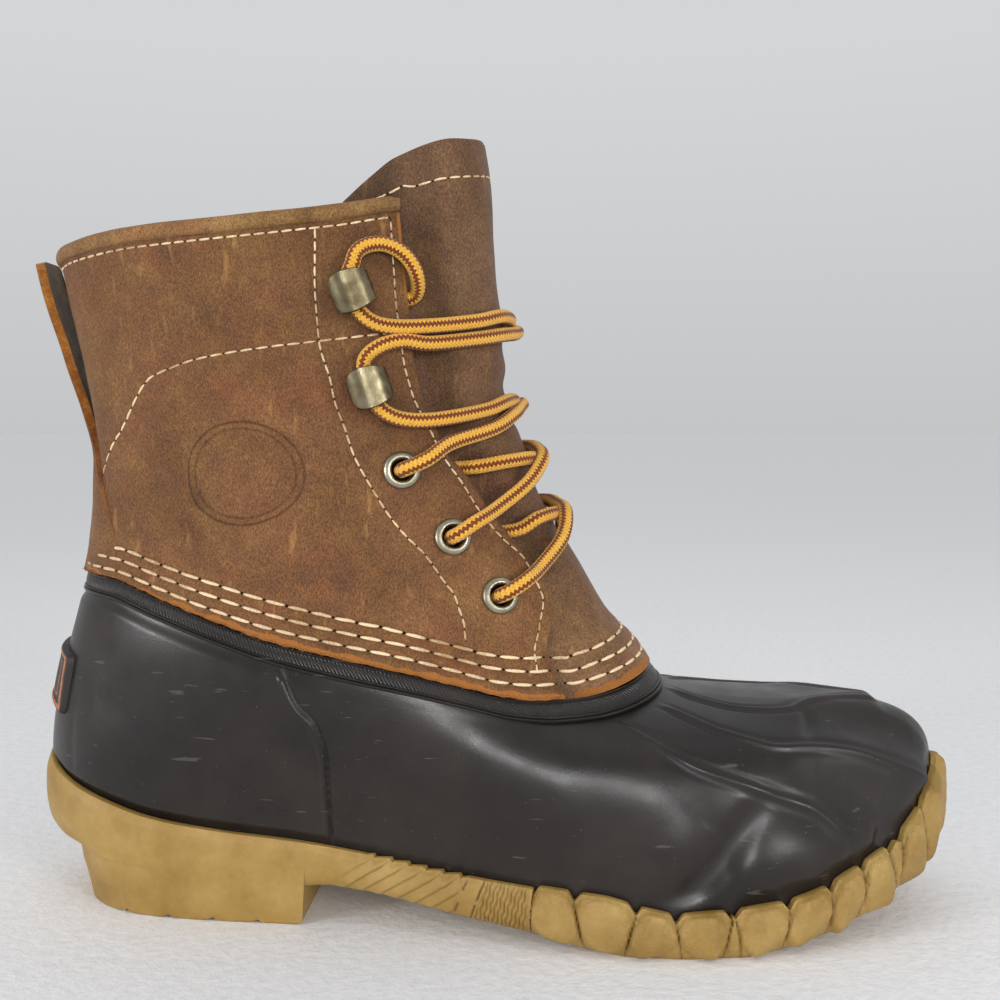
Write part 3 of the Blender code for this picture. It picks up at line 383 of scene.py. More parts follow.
def hook_run(side, start, stop, peak, lift, from_eyelet):
    """From an eyelet or the top of a hook to the foot of the opposite hook and up its channel."""
    (a0, z0), (a1, z1) = start, stop
    z0, z1, peak = z0 * COLLAR_HEIGHT, z1 * COLLAR_HEIGHT, peak * COLLAR_HEIGHT
    foot = z1 - HOOK_LENGTH / 2
    edge = 51.0
    if from_eyelet:
        low = z0
        points = out_of_eyelet(side, a0, z0) + [on(side, a0 - 7.0, z0 + (peak - z0) * 0.16, 0.0054)]
    else:
        low = z0 + HOOK_LENGTH / 2
        points = [on(side, a0 + 1.2, low - 0.0040, HOOK_CHANNEL),
                  on(side, a0 + 0.9, low + 0.0022, HOOK_CHANNEL),
                  on(side, a0 - 3.0, low + 0.0062, HOOK_CHANNEL),
                  on(side, a0 - 9.5, low + 0.0082, 0.0040)]
        low += 0.0040
    return points + [
        on(side, edge - 4.0, low + (peak - low) * 0.42, LACE_OVER + 0.0006),
        on(side, edge * 0.56, low + (peak - low) * 0.66, LACE_OVER - 0.0004),
        on(side, edge * 0.28, low + (peak - low) * 0.86, LACE_OVER + lift * 0.12),
        on(side, 0.0, peak, LACE_OVER + lift * 0.30),
        on(-side, edge * 0.28, peak + (foot - peak) * 0.35, LACE_OVER + lift),
        on(-side, edge * 0.56, peak + (foot - 0.0030 - peak) * 0.70, LACE_OVER + lift * 0.5 - 0.0004),
        on(-side, edge - 4.0, foot - 0.0042, LACE_OVER + 0.0006),
        on(-side, a1 - 8.0, foot - 0.0046, 0.0040),
        on(-side, a1 - 2.4, foot - 0.0026, HOOK_CHANNEL),
        on(-side, a1 + 1.2, foot + 0.0030, HOOK_CHANNEL)]


# Materials
def paint(code):
    """sRGB hex to linear colour."""
    parts = [int(code[i:i + 2], 16) / 255 for i in (1, 3, 5)]
    return tuple(c / 12.92 if c <= 0.04045 else ((c + 0.055) / 1.055) ** 2.4 for c in parts) + (1.0,)


def grey(x):
    return (x, x, x, 1.0)


def plug(tree, socket, value):
    """Gives a socket a constant or another node's output."""
    if isinstance(value, bpy.types.NodeSocket):
        tree.links.new(value, socket)
    else:
        socket.default_value = value


def add(tree, kind, settings=None, **inputs):
    """A node with its settings; an input is named by its word or, as n0, n1, by its number."""
    made = tree.nodes.new("ShaderNode" + kind)
    for key, value in (settings or {}).items():
        setattr(made, key, value)
    for key, value in inputs.items():
        name = int(key[1:]) if key[0] == "n" and key[1:].isdigit() else key
        plug(tree, made.inputs[name], value)
    return made


def fractal(tree, spot, scale, detail=2.0, roughness=0.5, distortion=0.0):
    """Cloudy texture; scale is per metre."""
    return add(tree, "TexNoise", Vector=spot, Scale=scale, Detail=detail, Roughness=roughness,
               Distortion=distortion).outputs[0]


def cells(tree, spot, scale):
    return add(tree, "TexVoronoi", {"feature": "F1"}, Vector=spot, Scale=scale, Randomness=1.0).outputs[0]


def stretched(tree, spot, scale, rotation):
    return add(tree, "Mapping", Vector=spot, Scale=scale, Rotation=rotation).outputs[0]


def ramp(tree, value, *stops):
    made = add(tree, "ValToRGB", Fac=value)
    elements = made.color_ramp.elements
    while len(elements) < len(stops):
        elements.new(0.5)
    for element, (place, shade) in zip(elements, stops):
        element.position = place
        element.color = paint(shade) if isinstance(shade, str) else shade
    return made.outputs[0]


def remap(tree, value, low, high, to_low, to_high, kind="LINEAR"):
    return add(tree, "MapRange", {"interpolation_type": kind}, Value=value, n1=low, n2=high, n3=to_low,
               n4=to_high).outputs[0]


def calc(tree, operation, *values, clamp=False):
    numbered = {"n%d" % k: value for k, value in enumerate(values)}
    return add(tree, "Math", {"operation": operation, "use_clamp": clamp}, **numbered).outputs[0]


def multiplied(tree, first, second):
    return add(tree, "VectorMath", {"operation": "MULTIPLY"}, n0=first, n1=second).outputs[0]


def scaled(tree, colour, by):
    return add(tree, "VectorMath", {"operation": "SCALE"}, n0=colour, Scale=by).outputs[0]


def mix(tree, share, first, second):
    first, second = (paint(x) if isinstance(x, str) else x for x in (first, second))
    return add(tree, "Mix", {"data_type": "RGBA"}, n0=share, n6=first, n7=second).outputs[2]


def mark(tree, name):
    """One of the numbers that a mesh carries at each of its points."""
    return add(tree, "Attribute", {"attribute_name": name}).outputs["Fac"]


def new_material(name):
    """A material, its tree and its places: by the object in metres, and on the UV map."""
    made = bpy.data.materials.new(name)
    made.use_nodes = True
    place = add(made.node_tree, "TexCoord")
    return made, made.node_tree, place.outputs["Object"], place.outputs["UV"]


def dress(tree, colour, relief, strength, distance, **values):
    """Plugs colour, relief (its height and depth in metres) and the other values into the shader."""
    shader = tree.nodes["Principled BSDF"]
    if relief:
        values["Normal"] = add(tree, "Bump", Height=relief, Strength=strength, Distance=distance).outputs[0]
    values["Base_Color"] = colour
    for name, value in values.items():
        plug(tree, shader.inputs[name.replace("_", " ")], value)


def oiled_leather(name, dark, middle, light, raw=True, ring=None, pale_foot=1.06):
    """Oiled crazy-horse cowhide, buffed and waxed: a fine open nap, cloudy light and dark from
    the oil moving in the hide, pale scuffs and a satin, mostly dull face. Cut edges show the
    orange-brown fibre."""
    made, tree, spot, uv = new_material(name)
    cloud = fractal(tree, spot, 34.0, 4.0, 0.62, 0.4)
    blotch = fractal(tree, spot, 150.0, 5.0, 0.7)
    # nap: fibres about 1.2 mm long and 0.6 mm wide that lie slantwise
    nap = fractal(tree, stretched(tree, spot, (2700.0, 2000.0, 1300.0), (0.5, 0.6, 0.0)), 1.0, 3.0, 0.72)
    pores = cells(tree, spot, 1150.0)
    mixed = calc(tree, "MULTIPLY_ADD", blotch, 0.45, calc(tree, "MULTIPLY_ADD", cloud, 0.55, 0.0))
    base = ramp(tree, mixed, (0.32, dark), (0.50, middle), (0.68, light))
    fleck = ramp(tree, nap, (0.34, (0.50, 0.48, 0.48, 1.0)), (0.50, grey(0.95)),
                 (0.66, (1.62, 1.68, 1.58, 1.0)))
    tint = ramp(tree, fractal(tree, spot, 21.0, 4.0, 0.6, 0.6), (0.34, (0.74, 0.72, 0.70, 1.0)),
                (0.44, (0.97, 1.02, 0.90, 1.0)), (0.52, grey(1.0)), (0.62, (1.06, 0.98, 0.96, 1.0)))
    # paler towards the bottom, below 118 mm
    height = add(tree, "SeparateXYZ", Vector=spot).outputs[2]
    pale = remap(tree, height, 0.080, 0.118, pale_foot, 1.0)
    flecked = multiplied(tree, scaled(tree, multiplied(tree, base, tint), pale), fleck)
    streak = fractal(tree, stretched(tree, spot, (260.0, 260.0, 60.0), (0.35, 0.2, 0.0)), 1.0, 3.0, 0.6)
    colour = mix(tree, remap(tree, streak, 0.62, 0.74, 0.0, 0.42), flecked, "#b58550")
    relief = calc(tree, "MULTIPLY_ADD", pores, 0.5, nap)
    if raw:
        ragged = remap(tree, blotch, 0.35, 0.65, -0.25, 0.25)
        cut = calc(tree, "ADD", mark(tree, "raw"), ragged, clamp=True)
        fibre = mix(tree, nap, "#5c2f10", "#c07c34")
        colour = mix(tree, remap(tree, cut, 0.42, 0.62, 0.0, 1.0, "SMOOTHSTEP"), colour, fibre)
    # painted shade: darker, down to 45%, where the mesh's shade mark is set
    colour = scaled(tree, colour, remap(tree, mark(tree, "shade"), 0.0, 1.0, 1.0, 0.45))
    if ring:
        # plain oval tooled into the hide: two fine lines, sizes in millimetres on the UV map
        (cu, cv), (wide, high) = ring
        centred = add(tree, "Mapping", {"vector_type": "POINT"}, Vector=uv,
                      Location=(-cu / wide, -cv / high, 0.0),
                      Scale=(1 / wide, 1 / high, 0.0))
        out = add(tree, "VectorMath", {"operation": "LENGTH"}, n0=centred.outputs[0])
        line = ramp(tree, out.outputs["Value"], (0.810, grey(1.0)), (0.842, grey(0.25)), (0.874, grey(1.0)),
                    (0.940, grey(1.0)), (0.972, grey(0.0)), (1.0, grey(1.0)))
        relief = calc(tree, "MULTIPLY_ADD", line, 2.4, relief)
        colour = scaled(tree, colour, remap(tree, line, 0.0, 1.0, 0.55, 1.0))
    dress(tree, colour, relief, 0.55, 0.00035, Roughness=remap(tree, blotch, 0.3, 0.7, 0.56, 0.74),
           Specular_IOR_Level=0.26, Sheen_Weight=0.05, Sheen_Roughness=0.45)
    return made


def suede(name, dark, light):
    """Raw flesh side and cut edge of the same hide: matt, fibrous, orange-brown."""
    made, tree, spot, uv = new_material(name)
    fibre = fractal(tree, spot, 900.0, 4.0, 0.8)
    both = calc(tree, "MULTIPLY", fibre, fractal(tree, spot, 120.0, 3.0))
    dress(tree, ramp(tree, both, (0.14, dark), (0.42, light)), fibre, 0.7, 0.0006, Roughness=0.92,
           Specular_IOR_Level=0.2, Sheen_Weight=0.3, Sheen_Roughness=0.5)
    return made


RUBBER_IOR = 1.52
BAND_RIB_MM = 1.2


def shell_rubber():
    """Injection-moulded dark brown rubber: satin, with worn patches that shine more, dull dust in
    the hollows, and fine pale scratches."""
    made, tree, spot, uv = new_material("moulded_rubber")
    hollow = mark(tree, "hollow")
    base = ramp(tree, fractal(tree, spot, 22.0, 4.0, 0.6), (0.35, "#1a1614"), (0.52, "#231e1b"),
                (0.68, "#2c2622"))
    deep = mix(tree, hollow, base, "#2a2424")
    speck = remap(tree, cells(tree, spot, 240.0), 0.02, 0.07, 0.36, 0.0)
    long_way = stretched(tree, spot, (70.0, 200.0, 620.0), (0.4, 0.6, 0.3))
    scratch = remap(tree, fractal(tree, long_way, 1.0, 2.0, 0.55), 0.70, 0.735, 0.0, 0.22)
    colour = mix(tree, calc(tree, "MAXIMUM", speck, scratch), deep, "#7d7873")
    shine = remap(tree, fractal(tree, spot, 90.0, 5.0, 0.65), 0.30, 0.70, 0.25, 0.38)
    # ribs of the band, leaning, on the UV map in millimetres
    way = add(tree, "SeparateXYZ", Vector=uv).outputs
    slope = calc(tree, "MULTIPLY_ADD", way[1], 0.55, way[0])
    wave = calc(tree, "SINE", calc(tree, "MULTIPLY", slope, 2 * math.pi / BAND_RIB_MM))
    ribs = calc(tree, "MULTIPLY", wave, mark(tree, "ribbed"))
    relief = calc(tree, "MULTIPLY_ADD", fractal(tree, spot, 1300.0, 2.0, 0.6), 0.22, ribs)
    dress(tree, colour, relief, 0.75, 0.00016,
          Roughness=calc(tree, "MULTIPLY_ADD", hollow, 0.40, shine, clamp=True),
           IOR=RUBBER_IOR, Specular_IOR_Level=0.36)
    return made


def gum_rubber():
    """Natural gum rubber, moulded: golden tan, satin, with a fine crinkled skin on the side pads
    and painted shade in its grooves."""
    made, tree, spot, uv = new_material("gum_rubber")
    crinkle = fractal(tree, spot, 520.0, 4.0, 0.72, 1.2)
    base = ramp(tree, fractal(tree, spot, 45.0, 4.0, 0.6), (0.34, "#8d6d31"), (0.5, "#9d7d3f"),
                (0.66, "#ab8c4e"))
    # painted shade: the colour darkens towards #5f4520 in the grooves, notches and cut lines
    groove_shaded = mix(tree, mark(tree, "groove_shade"), base, "#5f4520")
    colour = scaled(tree, groove_shaded, remap(tree, crinkle, 0.3, 0.7, 0.93, 1.05))
    dress(tree, colour, calc(tree, "MULTIPLY", crinkle, mark(tree, "crinkle")), 0.70, 0.0008, Roughness=0.52,
           IOR=RUBBER_IOR, Specular_IOR_Level=0.42)
    return made


def antique_metal(name, dark, middle, light):
    """Nickel-plated steel with an antique patina, tumbled: soft highlights, worn brighter
    spots and fine pits. A metal, so IOR stays at its default."""
    made, tree, spot, uv = new_material(name)
    cloud = fractal(tree, spot, 190.0, 6.0, 0.6)
    dress(tree, ramp(tree, cloud, (0.28, dark), (0.50, middle), (0.74, light)),
          fractal(tree, spot, 2200.0, 3.0),
           0.25, 0.0002, Metallic=1.0, Roughness=remap(tree, cloud, 0.3, 0.7, 0.42, 0.28))
    return made


TRACERS = 4.0
YARNS_ROUND = 12.0
YARN_PITCH_MM = 1.25


def braided_cord():
    """Polyester braid: golden yellow with rust tracers that zigzag along it, matt yarns in a
    herringbone. U runs round the cord 0 to 1, V along it in millimetres."""
    made, tree, spot, uv = new_material("braided_cord")
    way = add(tree, "SeparateXYZ", Vector=uv).outputs
    along = calc(tree, "MULTIPLY", way[1], 1 / YARN_PITCH_MM)
    tooth = calc(tree, "PINGPONG", along, 0.5)
    shifted = calc(tree, "MULTIPLY_ADD", tooth, 0.50, calc(tree, "MULTIPLY", way[0], TRACERS))
    away = calc(tree, "ABSOLUTE", calc(tree, "SUBTRACT", calc(tree, "FRACT", shifted), 0.5))
    fuzz = fractal(tree, spot, 1500.0, 3.0)
    colour = mix(tree, remap(tree, away, 0.175, 0.215, 1.0, 0.0), mix(tree, fuzz, "#d8941d", "#ffca55"),
                 mix(tree, fuzz, "#5c2409", "#94481c"))
    crossing = calc(tree, "PINGPONG", calc(tree, "MULTIPLY", way[0], YARNS_ROUND), 0.5)
    pitch = calc(tree, "PINGPONG", calc(tree, "ADD", along, crossing), 0.5)
    # painted shade between the yarns: the colour drops to 62% where they meet
    dress(tree, scaled(tree, colour, remap(tree, pitch, 0.0, 0.16, 0.62, 1.0)), pitch, 0.8, 0.0007,
          Roughness=0.72,
           Specular_IOR_Level=0.3, Sheen_Weight=0.15)
    return made


def waxed_thread():
    """Bonded nylon thread, cream, two plies twisted: satin, a little grimy."""
    made, tree, spot, uv = new_material("waxed_thread")
    ply = fractal(tree, spot, 1700.0)
    both = calc(tree, "MULTIPLY_ADD", ply, 0.5, fractal(tree, spot, 60.0))
    dress(tree, ramp(tree, both, (0.55, "#b08d62"), (0.85, "#ecd3ab")), ply, 0.5, 0.0003, Roughness=0.6)
    return made


def plain(name, dark, light, roughness, scale, depth=0.0003, sheen=0.0):
    """Matt stuff with one fine texture: cloth, needle holes or the floor. scale is per metre."""
    made, tree, spot, uv = new_material(name)
    fine = fractal(tree, spot, scale, 4.0, 0.65)
    dress(tree, ramp(tree, fine, (0.35, dark), (0.65, light)), fine, 0.5, depth, Roughness=roughness,
           Specular_IOR_Level=0.25, Sheen_Weight=sheen)
    return made


def plate_rubber():
    """Moulded rubber patch, matt black-brown, with a frame line printed in faded orange."""
    made, tree, spot, uv = new_material("plate_rubber")
    way = add(tree, "SeparateXYZ", Vector=uv).outputs
    inwards = []
    for k, size in enumerate(PLATE_MM):
        away = calc(tree, "ABSOLUTE", calc(tree, "SUBTRACT", way[k], 0.5))
        inwards.append(calc(tree, "SUBTRACT", size / 2, calc(tree, "MULTIPLY", away, size)))
    inside = calc(tree, "MULTIPLY", calc(tree, "MINIMUM", *inwards), 0.1)
    frame_line = ramp(tree, inside, (0.10, grey(0.0)), (0.13, grey(1.0)), (0.22, grey(1.0)),
                      (0.25, grey(0.0)),
                      (0.40, grey(0.0)), (0.42, grey(0.8)), (0.46, grey(0.8)), (0.48, grey(0.0)))
    wear = fractal(tree, spot, 700.0, 4.0, 0.7)
    ink = calc(tree, "MULTIPLY", frame_line, remap(tree, wear, 0.38, 0.52, 0.25, 0.95))
    dress(tree, mix(tree, ink, "#2a2220", "#b8734c"), None, 0.0, 0.0, Roughness=0.55)
    return made


HIDE = ("#593920", "#70492a", "#835d38")
RUBBER = shell_rubber()
GUM = gum_rubber()
METAL = antique_metal("antique_metal", "#564c37", "#776d55", "#9a9076")
NICKEL = antique_metal("worn_nickel", "#7f7a66", "#a09a87", "#bab5a4")
CORD = braided_cord()
THREAD = waxed_thread()
SUEDE = suede("cut_edge_suede", "#6f3a13", "#c98539")
# flesh side of the strap, facing the boot: olive suede, darker than the cut edge by painted shade
FLESH_SHADED = suede("flesh_side_suede_shaded", "#33260f", "#86692f")
# felted lining, brown and worn
LINING = plain("felt_lining", "#3d2c20", "#5a4431", 0.95, 900.0, sheen=0.2)
# felt footbed, warm grey-brown
FOOTBED = plain("felt_footbed", "#5d4a38", "#84705a", 0.95, 700.0, sheen=0.25)
# painted shade of the punched thread holes: almost black, no gloss
HOLE = plain("needle_hole_shade", "#0b0806", "#1a120c", 1.0, 900.0)
# floor: pale, matt, faintly woven
CLOTH = plain("pale_floor_cloth", "#eeeeef", "#f6f6f7", 1.0, 260.0, depth=0.0010)


# Making shapes: a grid laid on a surface of the last
def facing(p, closed=False):
    """Outward normals of a grid of points (rows up, columns round)."""
    wide = np.concatenate((p[:, -2:-1], p, p[:, 1:2]), axis=1) if closed else p
    across = np.gradient(wide, axis=1)
    if closed:
        across = across[:, 1:-1]
    return unit(np.cross(across, np.gradient(p, axis=0)))


def lengths(p):
    """Running length in millimetres along each row of points."""
    d = np.linalg.norm(np.diff(p, axis=1), axis=-1)
    return np.concatenate((np.zeros((len(p), 1)), np.cumsum(d, axis=1)), axis=1) / MM


WELD_REACH = 0.000002
SMOOTH_BELOW = math.radians(50)


def skin(name, p, materials, uv=None, marks=None, weld=True, wall_thickness=0.0, holes=(), slots=(0, 0),
         flip=False):
    """A grid primitive whose corners are laid on the points p (rows, columns, 3)."""
    high, wide = p.shape[:2]
    bpy.ops.mesh.primitive_grid_add(x_subdivisions=wide - 1, y_subdivisions=high - 1, size=1.0)
    piece = bpy.context.object
    piece.name = name
    mesh = piece.data
    mesh.name = name
    mesh.vertices.foreach_set("co", np.ascontiguousarray(p.reshape(-1)))
    if uv is None:
        uv = (lengths(p), lengths(p.transpose(1, 0, 2)).T)
    corner = np.empty(len(mesh.loops), dtype=np.int32)
    mesh.loops.foreach_get("vertex_index", corner)
    u, v = (np.broadcast_to(x, (high, wide)).reshape(-1)[corner] for x in uv)
    mesh.uv_layers[0].data.foreach_set("uv", np.stack((u, v), axis=-1).astype(np.float32).reshape(-1))
    for key, values in (marks or {}).items():
        attribute = mesh.attributes.new(key, "FLOAT", "POINT")
        spread = np.broadcast_to(values, (high, wide)).astype(np.float32)
        attribute.data.foreach_set("value", spread.reshape(-1))
    for m in materials:
        mesh.materials.append(m)
    mesh.update()
    for centre, radius in holes:
        cut_hole(piece, centre, radius)
    if weld or flip:
        bpy.ops.object.mode_set(mode="EDIT")
        bpy.ops.mesh.select_all(action="SELECT")
        if weld:
            bpy.ops.mesh.remove_doubles(threshold=WELD_REACH)
        if flip:
            bpy.ops.mesh.flip_normals()
        bpy.ops.object.mode_set(mode="OBJECT")
    if wall_thickness:
        modifier = piece.modifiers.new("wall", "SOLIDIFY")
        modifier.thickness = wall_thickness
        modifier.offset = -1.0
        modifier.use_even_offset = False
        modifier.material_offset = slots[0]
        modifier.material_offset_rim = slots[1]
        bpy.ops.object.modifier_apply(modifier="wall")
    bpy.ops.object.shade_smooth_by_angle(angle=SMOOTH_BELOW)
    bpy.ops.object.select_all(action="DESELECT")
    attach(piece, ROOT)
    return piece


def cut_hole(piece, centre, radius):
    """Takes out the faces round an eyelet; its flange covers the cut."""
    mesh = piece.data
    middles = np.empty(len(mesh.polygons) * 3)
    mesh.polygons.foreach_get("center", middles)
    inside = np.linalg.norm(middles.reshape(-1, 3) - centre, axis=1) < radius
    bpy.ops.object.mode_set(mode="EDIT")
    bpy.ops.mesh.select_mode(type="FACE")
    bpy.ops.object.mode_set(mode="OBJECT")
    mesh.polygons.foreach_set("select", inside)
    bpy.ops.object.mode_set(mode="EDIT")
    bpy.ops.mesh.delete(type="FACE")
    bpy.ops.object.mode_set(mode="OBJECT")


def frames(route):
    """Tangents and two steady cross directions along a route."""
    t = unit(np.gradient(route, axis=0))
    side = np.empty_like(route)
    first = np.cross(t[0], (0.0, 0.0, 1.0) if abs(t[0][2]) < 0.9 else (1.0, 0.0, 0.0))
    side[0] = unit(first)
    for i in range(1, len(route)):
        side[i] = unit(side[i - 1] - t[i] * (side[i - 1] @ t[i]))
    return t, side, np.cross(t, side)


def tube(name, route, radius, material, twist):
    """Round cord along a route with closed, slightly rounded ends."""
    t, side, other = frames(route)
    along = np.concatenate(((0.0,), np.cumsum(np.linalg.norm(np.diff(route, axis=0), axis=1)))) / MM
    a = np.linspace(0, 2 * math.pi, CORD_SIDES + 1) + twist
    ring = side[:, None] * np.cos(a)[None, :, None] + other[:, None] * np.sin(a)[None, :, None]
    first, last = (np.repeat(end[None], CORD_SIDES + 1, axis=1)
                   for end in (route[:1] - t[:1] * radius * 0.3, route[-1:] + t[-1:] * radius * 0.3))
    p = np.concatenate((first, route[:, None] + ring * radius, last), axis=0)
    v = np.concatenate(((along[0],), along, (along[-1],)))[:, None]
    return skin(name, p, [material], uv=(np.linspace(0, 1, CORD_SIDES + 1)[None], v))


# The cords come first: every crossing, then the two ends over the top hooks
LACE_TWISTS = (0.4, 1.4, 0.4, 2.4)
END_TWIST = 0.4


def lace(name, points, nodes, twist):
    route = smooth_route(points, 10)
    piece = tube(name, route, LACE_DIAMETER / 2, CORD, twist)
    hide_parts(*nodes)
    return piece, route


for k, peaks in enumerate(PEAKS):
    for side, name, peak, lift in ((1.0, "medial", peaks[0], CROSS_LIFT), (-1.0, "lateral", peaks[1], 0.0)):
        if k < 2:
            points = strand(side, HOLDS[k], HOLDS[k + 1], peak, lift)
        else:
            points = hook_run(side, HOLDS[k], HOLDS[k + 1], peak, lift, from_eyelet=k == 2)
        lace("lace_%s_%d" % (name, k + 1), points, ["lace_cross_%d" % (k + 1)], LACE_TWISTS[k])
for name, side in SIDES:
    points = [on(side, a, z * COLLAR_HEIGHT, h * LACE_DIAMETER) for a, z, h in END]
    end, route = lace("lace_tail_" + name, points, [], END_TWIST)
    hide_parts("lace_end_" + name)

# Leather shaft
# Stitch rows over the band: degrees from the front, then upper and lower row in mm above it
BAND_ROWS = ((0.0, 12.3, 4.6), (62.0, 13.0, 4.8), (96.0, 12.6, 4.4), (120.0, 10.6, 3.2), (148.0, 9.4, 2.6),
             (180.0, 9.2, 2.5))
# Stitch lines on one side of the shaft: degrees from the front and height in mm
SIDE_SEAM = ((73.2, 213.3), (76.6, 179.8), (74.6, 166.3), (74.1, 148.0), (69.5, 131.5), (66.5, 122.2),
             (63.5, 115.9), (61.5, 108.5), (60.0, 103.1), (60.0, 96.7), (61.6, 90.6))
QUARTER_SEAM = ((160.5, 139.0), (157.3, 141.8), (147.7, 149.6), (141.1, 153.4), (131.2, 163.4),
                (124.8, 169.2), (117.8, 172.0), (108.9, 174.8), (91.0, 178.0), (81.4, 179.3), (55.7, 182.9))
FACING_SEAM = ((53.2, 216.1), (54.1, 199.8), (55.0, 188.9), (54.5, 175.4), (52.4, 163.7), (49.2, 145.2),
               (44.8, 135.7), (40.2, 120.5), (36.0, 113.0), (36.1, 103.6), (41.7, 93.8), (47.8, 86.3),
               (49.5, 80.0))
TONGUE_SEAM = ((56.4, 222.6), (54.4, 223.8), (49.9, 226.1), (40.1, 229.0), (27.8, 231.0), (1.0, 234.9))
# The three stitch rows over the band, as shares from the upper to the lower one
BAND_SHARES = (0.0, 0.5, 1.0)
# Soft folds worn into the leather: start and end (degrees, mm), depth and half width in mm
FOLDS = (
    ((150.0, 150.0), (118.0, 136.0), 0.9, 5.0),
    ((112.0, 160.0), (84.0, 168.0), 0.7, 5.0),
    ((140.0, 128.0), (112.0, 118.0), 0.8, 4.5),
    ((96.0, 122.0), (70.0, 134.0), 0.8, 5.0),
    ((150.0, 182.0), (128.0, 196.0), 0.7, 7.0),
    ((110.0, 196.0), (84.0, 204.0), 0.8, 8.0),
    ((66.0, 150.0), (56.0, 158.0), 0.6, 4.0),
    ((84.0, 112.0), (66.0, 104.0), 0.6, 4.5),
)


def row_height(angle, share):
    """Height of a band stitch row: share 0 is the upper row, 1 the lower."""
    fold = np.abs(angle)
    upper = rows(BAND_ROWS, fold, 1)
    return rim_height(fold) + (upper + (rows(BAND_ROWS, fold, 2) - upper) * share) * MM


def trace(points, count):
    """Evenly spread, smooth run of (angle, height in metres) through table rows."""
    p = np.array(points, float)
    reach = np.concatenate(((0.0,), np.cumsum(np.hypot(np.diff(p[:, 0]) * 0.75, np.diff(p[:, 1])))))
    t = np.linspace(0, reach[-1], count)
    return blend(reach, p[:, 0], t), blend(reach, p[:, 1], t) * MM


def near(p, line):
    """Distance from each point of a grid to a line through points, and how far along it (0 to 1)."""
    flat = p.reshape(-1, 3)
    best = np.full(len(flat), 1e9)
    where = np.zeros(len(flat))
    spans = max(len(line) - 1, 1)
    for i in range(spans):
        a = line[i]
        run = line[min(i + 1, len(line) - 1)] - a
        t = np.clip(((flat - a) @ run) / max(run @ run, 1e-12), 0.0, 1.0)
        d = ((flat - a - t[:, None] * run) ** 2).sum(axis=1)
        closer = d < best
        best[closer] = d[closer]
        where[closer] = (i + t[closer]) / spans
    return np.sqrt(best).reshape(p.shape[:2]), where.reshape(p.shape[:2])


def swell(p, size, seed):
    """Soft unevenness of a made thing, from -1 to 1."""
    shift = Vector((seed * 3.7, seed * 1.3, seed * 2.1))
    flat = (p / size).reshape(-1, 3)
    return np.array([noise.noise(Vector(q) + shift) for q in flat]).reshape(p.shape[:2])


SHAFT_AROUND = 360
SHAFT_UP = 124
u, w = np.meshgrid(np.linspace(1, 0, SHAFT_AROUND + 1), np.linspace(0, 1, SHAFT_UP + 1) ** 1.25)
z = np.full(u.shape, 0.12)
for pass_of in range(8):
    edge = facing_angle(z)
    angle = edge + (360 - 2 * edge) * u
    fold = np.minimum(angle, 360 - angle)
    low = rim_height(fold) + GAP
    high = collar_height(fold) - BINDING_HEIGHT + 0.0010
    z = low + (high - low) * w
signed = np.where(angle > 180, angle - 360, angle)
base = shaft(signed, z)
above = (z - low) / MM
raise_of = 1.7 * (1 - step(0.0, 14.0, above))
for share in BAND_SHARES:
    raise_of -= 0.42 * bump((z - row_height(fold, share)) / MM, 0.9)
for share in (0.25, 0.75):
    raise_of += 0.22 * bump((z - row_height(fold, share)) / MM, 1.3)
for table, depth in ((SIDE_SEAM, 0.30), (QUARTER_SEAM, 0.34), (FACING_SEAM, 0.30)):
    for side in (1.0, -1.0):
        a, h = trace(table, 120)
        gap_to = near(base, shaft(side * a, h))[0]
        raise_of -= depth * bump(gap_to / MM, 0.9)
        raise_of += depth * 0.5 * bump(gap_to / MM - 2.4, 1.6)
for (a0, z0), (a1, z1), depth, wide in FOLDS:
    for side in (1.0, -1.0):
        t = np.linspace(0, 1, 16)
        gap_to, along = near(base, shaft(side * (a0 + (a1 - a0) * t), (z0 + (z1 - z0) * t) * MM))
        ends = 1 - 0.7 * np.abs(along * 2 - 1) ** 2
        raise_of -= depth * ends * bump(gap_to / MM, wide)
        raise_of += depth * 0.6 * ends * bump(gap_to / MM - wide * 1.6, wide)
raise_of += 0.55 * swell(base, 0.030, 1) + 0.28 * swell(base, 0.011, 2)
edge_off = fold - edge
raise_of -= 0.7 * (1 - step(0.0, 1.1, edge_off))
raise_of -= 0.55 * (1 - step(0.0, 0.9, above))
raise_of += 0.35 * swell(base, 0.0022, 12) * (1 - step(0.0, 3.5, above))
leather_p = base + facing(base) * raise_of[..., None] * MM
leather_p[..., 2] += 0.0005 * swell(base, 0.0030, 11) * (1 - step(0.0, 2.0, above))
ragged = 1.7 + 1.1 * swell(base, 0.014, 9) + 0.8 * swell(base, 0.004, 10) - 1.3 * step(104.0, 150.0, fold)
raw_of = 1 - step(ragged - 0.5, ragged + 0.5, above)
raw_of = np.maximum(raw_of, (1 - step(0.5, 1.3, edge_off)) * step(0.180, 0.205, z))
# painted shade: darker along a line 3.4 mm above the band, along the band's stitch rows, round the hooks and
# just under the binding
shade_of = 0.35 * bump(above - 3.4, 0.9)
for share in BAND_SHARES:
    shade_of = np.maximum(shade_of, 0.22 * bump((z - row_height(fold, share)) / MM, 0.8))
for angle_of, share in HOOKS:
    for side in (1.0, -1.0):
        gap_to = near(base, shaft(side * np.array([angle_of]), np.array([share * COLLAR_HEIGHT])))[0]
        shade_of = np.maximum(shade_of, 0.40 * bump(gap_to / MM, 11.0))
shade_of = np.maximum(shade_of, 0.30 * (1 - step(0.0, 2.0, (high - z) / MM)))
back = int(np.argmin(np.abs(angle[0] - 180)))
around = lengths(base)
around = around - around[:, back:back + 1]
